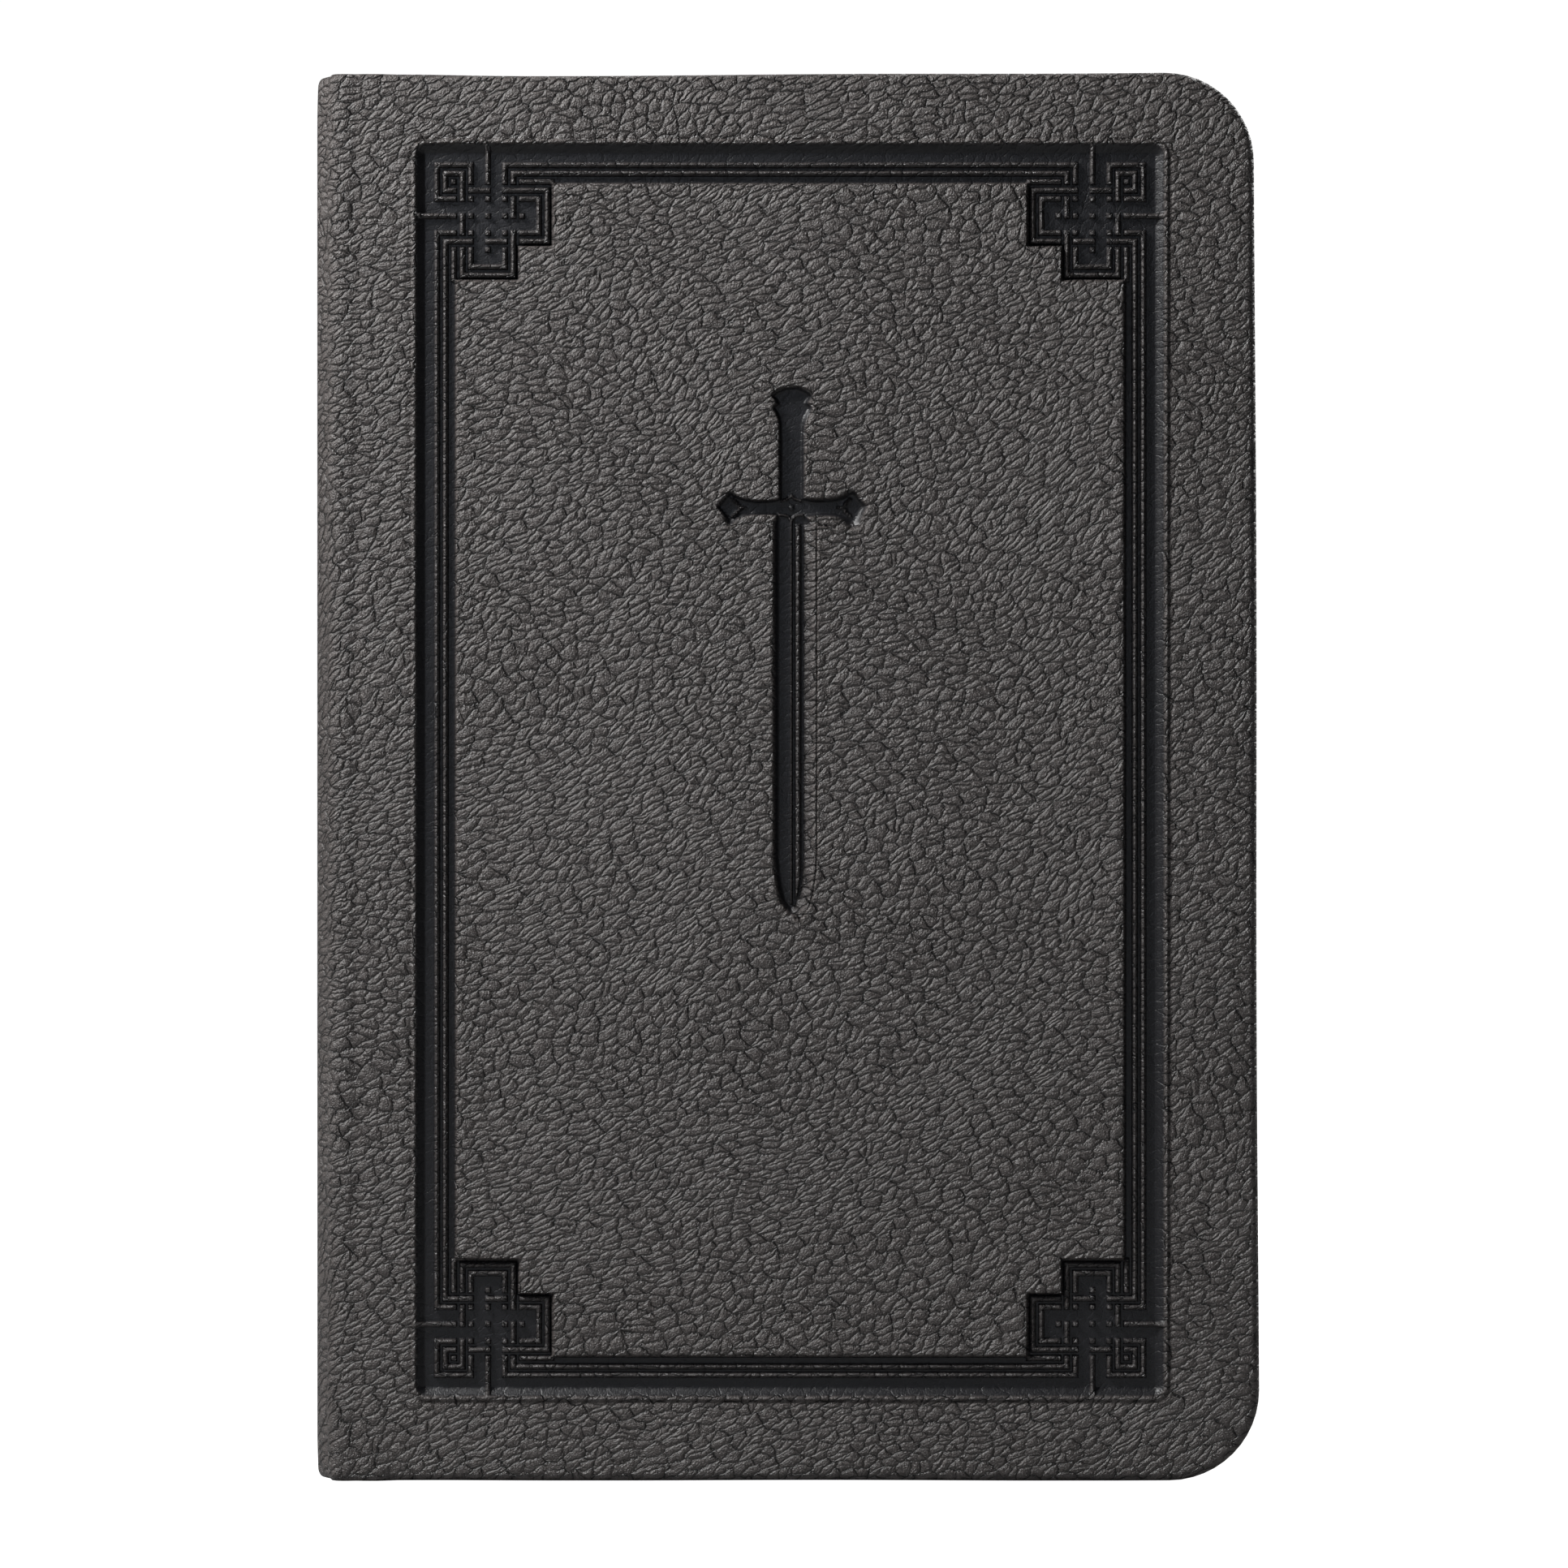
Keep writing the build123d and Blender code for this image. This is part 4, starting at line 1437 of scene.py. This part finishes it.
@dataclass
class PageBlock:
    """The folded sections, each with the ribs of its leaves' edges, and the leaves of the opening."""

    sizes: BookSizes
    ribs: int = 5
    rib_depth: float = 0.035
    ragged: float = 0.07
    sheet: float = 0.04
    curl: float = 3.2
    fold: float = 0.035
    fold_gap: float = 0.012
    seed: int = 1611

    def leaf_outline(self, low: Array, high: Array, inset: float) -> Array:
        """Gives a leaf's outline, round at the two fore-edge corners.

        Args:
            low: the section's lowest corner.
            high: its highest.
            inset: distance in from its edges.

        Returns:
            X and Z of the outline's points.
        """
        radius = self.sizes.page_corner - inset
        x1, z0, z1 = high[0] - inset, low[2] + inset, high[2] - inset
        turns = np.linspace(0, math.pi / 2, 9)
        lower = np.stack([x1 - radius + radius * np.sin(turns), z0 + radius - radius * np.cos(turns)], -1)
        upper = np.stack([x1 - radius + radius * np.cos(turns), z1 - radius + radius * np.sin(turns)], -1)
        spine = [(low[0], z1), (low[0], z0)]
        return np.vstack([lower, upper, spine])

    def build_section(self, node: str, rng: np.random.Generator, body: str, finishes: Sequence[Any]) -> None:
        """Makes one section in place of its CAD slab.

        Args:
            node: the CAD slab.
            rng: draws how far its leaves fall short.
            body: the body that it rides on.
            finishes: one for its edges and one for its faces.
        """
        low, high = corners(node)
        jitter = rng.uniform(-self.ragged, 0, 2)
        high = high + (jitter[0], 0, jitter[1])
        parts = MeshParts()
        count = 2 * self.ribs
        loops = []
        for k in range(count + 1):
            y = low[1] + (high[1] - low[1]) * k / count
            loop = self.leaf_outline(low, high, self.rib_depth if k % 2 == 0 else 0.0)
            points = np.stack([loop[:, 0], np.full(len(loop), y), loop[:, 1]], -1)
            loops.append(parts.add(points, loop))
        parts.rows(np.stack(loops), closed=True)
        parts.face(loops[0])
        parts.face(loops[-1])
        piece = parts.build(node + "_leaves", finishes[0])
        piece.data.materials.append(finishes[1])
        for polygon in piece.data.polygons:
            polygon.material_index = int(len(polygon.vertices) > 4)
        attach(finish_piece(piece, "bible_paper", node), body)

    def leaf_grid(self, low: Array, high: Array, columns: int = 40, rows: int = 26) -> Array:
        """Gives places on a leaf as rows and columns that follow its round corners.

        Args:
            low: the leaf's lowest corner.
            high: its highest.
            columns: how many places across, closer together at the spine.
            rows: how many up.

        Returns:
            X and Z of each place.
        """
        x = low[0] + (high[0] - low[0]) * np.linspace(0, 1, columns) ** 1.35
        radius = self.sizes.page_corner
        past = np.maximum(x - (high[0] - radius), 0)
        short = radius - np.sqrt(np.maximum(radius**2 - past**2, 0))
        share = np.linspace(0, 1, rows)[:, None]
        z = (low[2] + short) + (high[2] - low[2] - 2 * short) * share
        return np.stack([np.broadcast_to(x, z.shape), z], -1)

    def thin_sheet(
        self, name: str, flat: Array, faces: Array, origin: Array, material: Any
    ) -> bpy.types.Object:
        """Makes a thin closed sheet.

        Args:
            name: the piece's name.
            flat: X and Z of its grid.
            faces: Y of its two faces, in the first axis.
            origin: the place on the page that its print is measured from.
            material: its finish.

        Returns:
            The piece.
        """
        parts = MeshParts()
        sides = []
        for y in faces:
            points = np.stack([flat[..., 0], np.broadcast_to(y, flat.shape[:-1]), flat[..., 1]], -1)
            sides.append(parts.add(points, np.abs(flat - origin)))
        parts.shell(sides)
        return parts.build(name, material, close=False)

    def build_opening(self, material: bpy.types.Material) -> None:
        """Makes the three loose leaves and the folded sheet that lines the opening.

        Args:
            material: their finish.
        """
        for number in (1, 2, 3):
            node = f"centre_leaf_{number}"
            low, high = corners(node)
            flat = self.leaf_grid(low, high)
            middle = (low[1] + high[1]) / 2
            faces = np.array([middle - self.sheet / 2, middle + self.sheet / 2])
            piece = self.thin_sheet(node + "_sheet", flat, faces, low[[0, 2]], material)
            finish_piece(piece, "bible_paper", node)
            blend_at(piece)
        low, high = corners("centre_leaf_2")
        face_y = corners("section_13")[0][1] - self.fold_gap
        flat = self.leaf_grid(low, high)
        parts, sheets = MeshParts(), []
        fold = np.radians(np.linspace(-90, 90, 15)[1:-1])
        for skin in (0.0, self.sheet / 2):
            y = face_y - skin
            outer = np.dstack([flat[..., 0], np.full(flat.shape[:-1], y), flat[..., 1]])
            z = np.broadcast_to(flat[:, :1, 1], (len(flat), len(fold)))
            turn_x = low[0] - (self.fold - skin) * np.cos(fold)
            turn = np.stack([np.broadcast_to(way, z.shape) for way in (turn_x, -np.sin(fold) * y)] + [z], -1)
            grid = np.concatenate([outer[:, ::-1], turn, outer * (1, -1, 1)], axis=1)
            places = np.concatenate([flat[:, ::-1], np.repeat(flat[:, :1], len(fold), axis=1), flat], axis=1)
            sheets.append(parts.add(grid, np.abs(places - low[[0, 2]])))
        parts.shell(sheets)
        piece = parts.build("middle_sheet", material, close=False)
        finish_piece(piece, "bible_paper")
        blend_at(piece)

    def build(self, edges: Any, faces: Any, printed: Any) -> None:
        """Makes every section and the leaves of the opening.

        Args:
            edges: the finish of the cut edges.
            faces: that of the sections' outer pages.
            printed: that of the pages at the opening.
        """
        rng = np.random.default_rng(self.seed)
        nodes = sorted(name for name in frame["nodes"] if name.startswith("section_"))
        for number, node in enumerate(nodes):
            body = "front_half" if number < len(nodes) // 2 else "rear_half"
            self.build_section(node, rng, body, (edges, faces))
        self.build_opening(printed)


@dataclass
class Endpapers:
    """The paper that joins a cover to the pages: flyleaf and the fold over the joint."""

    sizes: BookSizes
    block: PageBlock
    thickness: float = 0.14
    bow: float = 4.3
    overlap: float = 3.2

    def build_flyleaf(self, side: Side, material: bpy.types.Material) -> None:
        """Makes a flyleaf with its glued edge.

        Args:
            side: front or back.
            material: its finish.
        """
        word = side.word
        guard_low, _ = corners(f"{word}_flyleaf_guard")
        low, high = corners(f"{word}_flyleaf")
        y = (low[1] + high[1]) / 2
        start = np.array([guard_low[0], y, low[2]])
        flat = self.block.leaf_grid(start, high)
        faces = np.array([y - self.thickness / 2, y + self.thickness / 2])
        piece = self.block.thin_sheet(f"{word}_flyleaf_sheet", flat, faces, start[[0, 2]], material)
        finish_piece(piece, "endpaper", f"{word}_flyleaf", f"{word}_flyleaf_guard")
        blend_at(piece)

    def build_folds(self, side: Side, material: bpy.types.Material) -> None:
        """Makes the two runs of paper that line the joint, from the pages to the cover's lining paper.

        Args:
            side: front or back.
            material: their finish.
        """
        sizes, sign, word = self.sizes, side.value, side.word
        low, high = corners(f"{word}_pastedown")
        inner_y = min(abs(low[1]), abs(high[1]))
        strip_y = sizes.out_y - float(sizes.thickness(np.array(sizes.seam_x))) - self.thickness
        guard_y = corners(f"{word}_flyleaf_guard")[1 if sign > 0 else 0][1] * sign + 0.02
        z = np.linspace(low[2] + 0.4, high[2] - 0.4, 30)
        start_x = corners(f"{word}_flyleaf_guard")[0][0] + 0.3
        strip, end_x = f"{word}_joint", sizes.hinge_x + self.overlap
        for part, bodies, (x0, x1), (y0, y1), axis_x in (
            ("inner", (side.half, strip), (start_x, sizes.seam_x), (guard_y, strip_y), sizes.joint_x),
            ("outer", (strip, f"{word}_cover"), (sizes.seam_x, end_x), (strip_y, inner_y), sizes.hinge_x),
        ):
            x = np.linspace(x0, x1, 22)
            y = y0 + (y1 - y0) * smooth((x - x0) / (x1 - x0) * 1.15)
            flat = np.stack(np.meshgrid(x, z), -1)
            faces = np.stack([sign * np.broadcast_to(y + t, flat.shape[:-1]) for t in (0.0, self.thickness)])
            name = f"{word}_joint_paper_{part}"
            piece = self.block.thin_sheet(name, flat, faces, flat[0, 0], material)
            finish_piece(piece, "endpaper")
            blend_at(piece)

    def build(self, material: bpy.types.Material) -> None:
        """Makes both ends' papers."""
        for side in Side:
            self.build_flyleaf(side, material)
            self.build_folds(side, material)


@dataclass
class Headband:
    """A cord wound with thread, sewn along one end of the rounded back."""

    sizes: BookSizes
    word: str
    wind: float = 0.42
    wind_height: float = 0.06
    turns: int = 14
    tuck: float = 0.25
    bend: float = 1.6

    def build(self, material: bpy.types.Material) -> bpy.types.Object:
        """Makes the band over both halves of the back.

        Args:
            material: its finish.

        Returns:
            The piece.
        """
        low, high = corners(f"{self.word}_band_rear")
        at_head = self.word == "head"
        radius = (high[2] - self.sizes.pages_high[2] if at_head else self.sizes.pages_low[2] - low[2]) / 2
        z0 = high[2] - radius if at_head else low[2] + radius
        half = high[1]
        bulge = high[0] - low[0] - 2 * radius + self.tuck
        bend = (half**2 + bulge**2) / (2 * bulge)
        y = np.arange(-half, half, self.wind / 6)
        x = low[0] + radius + self.tuck + bend - np.sqrt(bend**2 - y**2)
        girth = radius - self.wind_height * (1 + np.cos(2 * math.pi * y / self.wind)) / 2
        girth = girth * np.sqrt(np.clip(1.02 - (np.abs(y) / half) ** 24, 0.02, 1))
        turn = np.linspace(0, 2 * math.pi, self.turns, endpoint=False)
        parts = MeshParts()
        points = np.stack([
            x[:, None] + girth[:, None] * np.cos(turn),
            np.broadcast_to(y[:, None], (len(y), len(turn))),
            z0 + girth[:, None] * np.sin(turn),
        ], -1)
        flat = np.stack(np.broadcast_arrays(y[:, None] + half, turn[None, :] * radius), -1)
        parts.rows(parts.add(points, flat), closed=True)
        piece = parts.build(f"{self.word}_band_wound", material)
        finish_piece(piece, "headband", f"{self.word}_band_front", f"{self.word}_band_rear")
        blend_at(piece)
        return piece


# ---------------------------------------------------------------- studio


@dataclass(frozen=True)
class SoftLight:
    """One large soft studio lamp, aimed at the book."""

    name: str
    place: tuple[float, float, float]
    size: float
    power: float
    colour: str = "FFFFFF"

    def build(self, target: Vector) -> None:
        """Makes the lamp.

        Args:
            target: the place that it faces, in metres.
        """
        data = bpy.data.lights.new(self.name, "AREA")
        data.shape = "SQUARE"
        data.size = self.size
        data.energy = self.power
        data.color = linear(self.colour)[:3]
        lamp = bpy.data.objects.new(self.name, data)
        lamp.location = self.place
        lamp.rotation_mode = "QUATERNION"
        lamp.rotation_quaternion = (target - lamp.location).to_track_quat("-Z", "Y")
        bpy.context.scene.collection.objects.link(lamp)


@dataclass
class Studio:
    """A pale floor in white surroundings, soft lamps and the camera."""

    sizes: BookSizes
    floor_radius: float = 1.1
    dim: float = 0.04
    lens: float = 120.0
    sensor: float = 36.0
    view_height: float = 190.9
    aim: tuple[float, float] = (-0.45, 84.95)

    def build(self) -> None:
        """Makes the floor, the lamps and the camera."""
        self.build_floor()
        target = Vector((0, 0, self.sizes.middle * MM))
        for lamp in (
            SoftLight("key_light", (-0.26, -0.15, 0.4), 0.12, 2.7),
            SoftLight("fill_light", (-0.2, -0.85, 0.33), 0.15, 0.7, "EAF1FF"),
            SoftLight("back_light", (0.5, 0.62, 0.62), 0.5, 6.2),
            SoftLight("side_light", (-0.42, -0.08, 0.36), 0.2, 1.35),
        ):
            lamp.build(target)
        self.build_world()
        self.build_camera()

    def build_floor(self) -> None:
        """Makes the floor as one round sheet."""
        parts = MeshParts()
        radii = np.array([0.02, 0.3, 0.6, self.floor_radius])
        around = np.linspace(0, 2 * math.pi, 64, endpoint=False)
        points = np.stack([
            radii[:, None] * np.cos(around),
            radii[:, None] * np.sin(around),
            np.zeros((len(radii), len(around))),
        ], -1)
        numbers = parts.add(points / MM, points[..., :2])
        parts.rows(numbers, closed=True)
        parts.face(numbers[0])
        # The eye gets plain white, and the book a soft pale light from below.
        material, tree, shader = new_material("paper_backdrop_matt", 0.9, 1.45)
        grain = add_node(tree, "TexNoise", {"Scale": 40.0, "Detail": 3.0}).outputs["Fac"]
        colour = add_node(
            tree, "Mix", {"Factor": grain, 6: linear("949494"), 7: linear("989898")}, data_type="RGBA"
        )
        tree.links.new(colour.outputs[2], shader.inputs["Base Color"])
        shader.inputs["Emission Color"].default_value = (1, 1, 1, 1)
        seen = add_node(tree, "LightPath").outputs["Is Camera Ray"]
        tree.links.new(seen, shader.inputs["Emission Strength"])
        floor = parts.build("studio_floor", material, close=False)

    def build_world(self) -> None:
        """Makes the white surroundings, which the camera sees bright and the book sees dim."""
        world = bpy.data.worlds.new("studio")
        world.use_nodes = True
        tree = world.node_tree
        seen = add_node(tree, "LightPath").outputs["Is Camera Ray"]
        strength = add_node(tree, "MapRange", {"Value": seen, "To Min": self.dim, "To Max": 1.05})
        background = tree.nodes["Background"]
        background.inputs["Color"].default_value = (1, 1, 1, 1)
        tree.links.new(strength.outputs["Result"], background.inputs["Strength"])
        bpy.context.scene.world = world
        bpy.context.scene.view_settings.view_transform = "Standard"

    def build_camera(self) -> None:
        """Makes the camera, square to the front cover."""
        data = bpy.data.cameras.new("camera")
        data.lens, data.sensor_width = self.lens, self.sensor
        away = self.view_height * self.lens / self.sensor + self.sizes.out_y
        camera = bpy.data.objects.new("camera", data)
        camera.location = (self.aim[0] * MM, -away * MM, self.aim[1] * MM)
        camera.rotation_euler = (math.pi / 2, 0, 0)
        data.clip_start, data.clip_end = 0.01, 20
        bpy.context.scene.collection.objects.link(camera)
        bpy.context.scene.camera = camera


# ---------------------------------------------------------------- the book


def dress_cad_nodes() -> None:
    """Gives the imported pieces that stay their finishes."""
    endpaper = Paper("endpaper_wove_dark", "35312F", "2A2726").make()
    board = Paper("millboard_rolled_grey", "9A9182", "847B6C", 0.9, 0.05).make()
    foam = Paper("foam_sheet_cut", "DCD8CE", "C9C4B8", 0.95, 0.08).make()
    mull = PlainWeave("mull_cotton_open", "D9D0BC", "B5AA92", 0.8).make()
    tape = PlainWeave("tape_cotton_woven", "E2DBCA", "C2B89F", 0.45).make()
    thread = PlainWeave("linen_thread_waxed", "E9E1CD", "C7BC9F", 0.2).make()
    finishes = {
        "pastedown": endpaper,
        **dict.fromkeys(("board", "infill", "spine_card"), board),
        "padding": foam,
        **dict.fromkeys(("joint_lining", "spine_mull"), mull),
        "sewing_tapes": tape,
        "sewing_thread": thread,
    }
    for name, node in frame["nodes"].items():
        found = next((finish for word, finish in finishes.items() if word in name), None)
        if found is not None:
            node.data.materials.clear()
            node.data.materials.append(found)
            LOG.info("%s: %s", name, found.name)


def main() -> None:
    """Builds the book round its frame, then the studio."""
    logging.basicConfig(level=logging.INFO, format="%(name)s %(message)s")
    sizes = BookSizes.from_frame()
    leather = GrainedLeather().make()
    front = CoverLeather(sizes, Side.FRONT, KnotFrame(), Sword())
    front.build(leather)
    CoverLeather(sizes, Side.BACK).build(leather)
    SpineLeather(sizes, front.profile()).build(leather)
    block = PageBlock(sizes)
    outer_page = Paper("bible_paper_calendered", "EFE9DA", "E8E1CF").make()
    block.build(PageEdges().make(), outer_page, PrintedPage().make())
    Endpapers(sizes, block).build(Paper("endpaper_wove_charcoal", "3A3634", "2C2928").make())
    thread = WoundThread().make()
    for word in ("head", "tail"):
        Headband(sizes, word).build(thread)
    dress_cad_nodes()
    Studio(sizes).build()


if __name__ == "__main__":
    main()
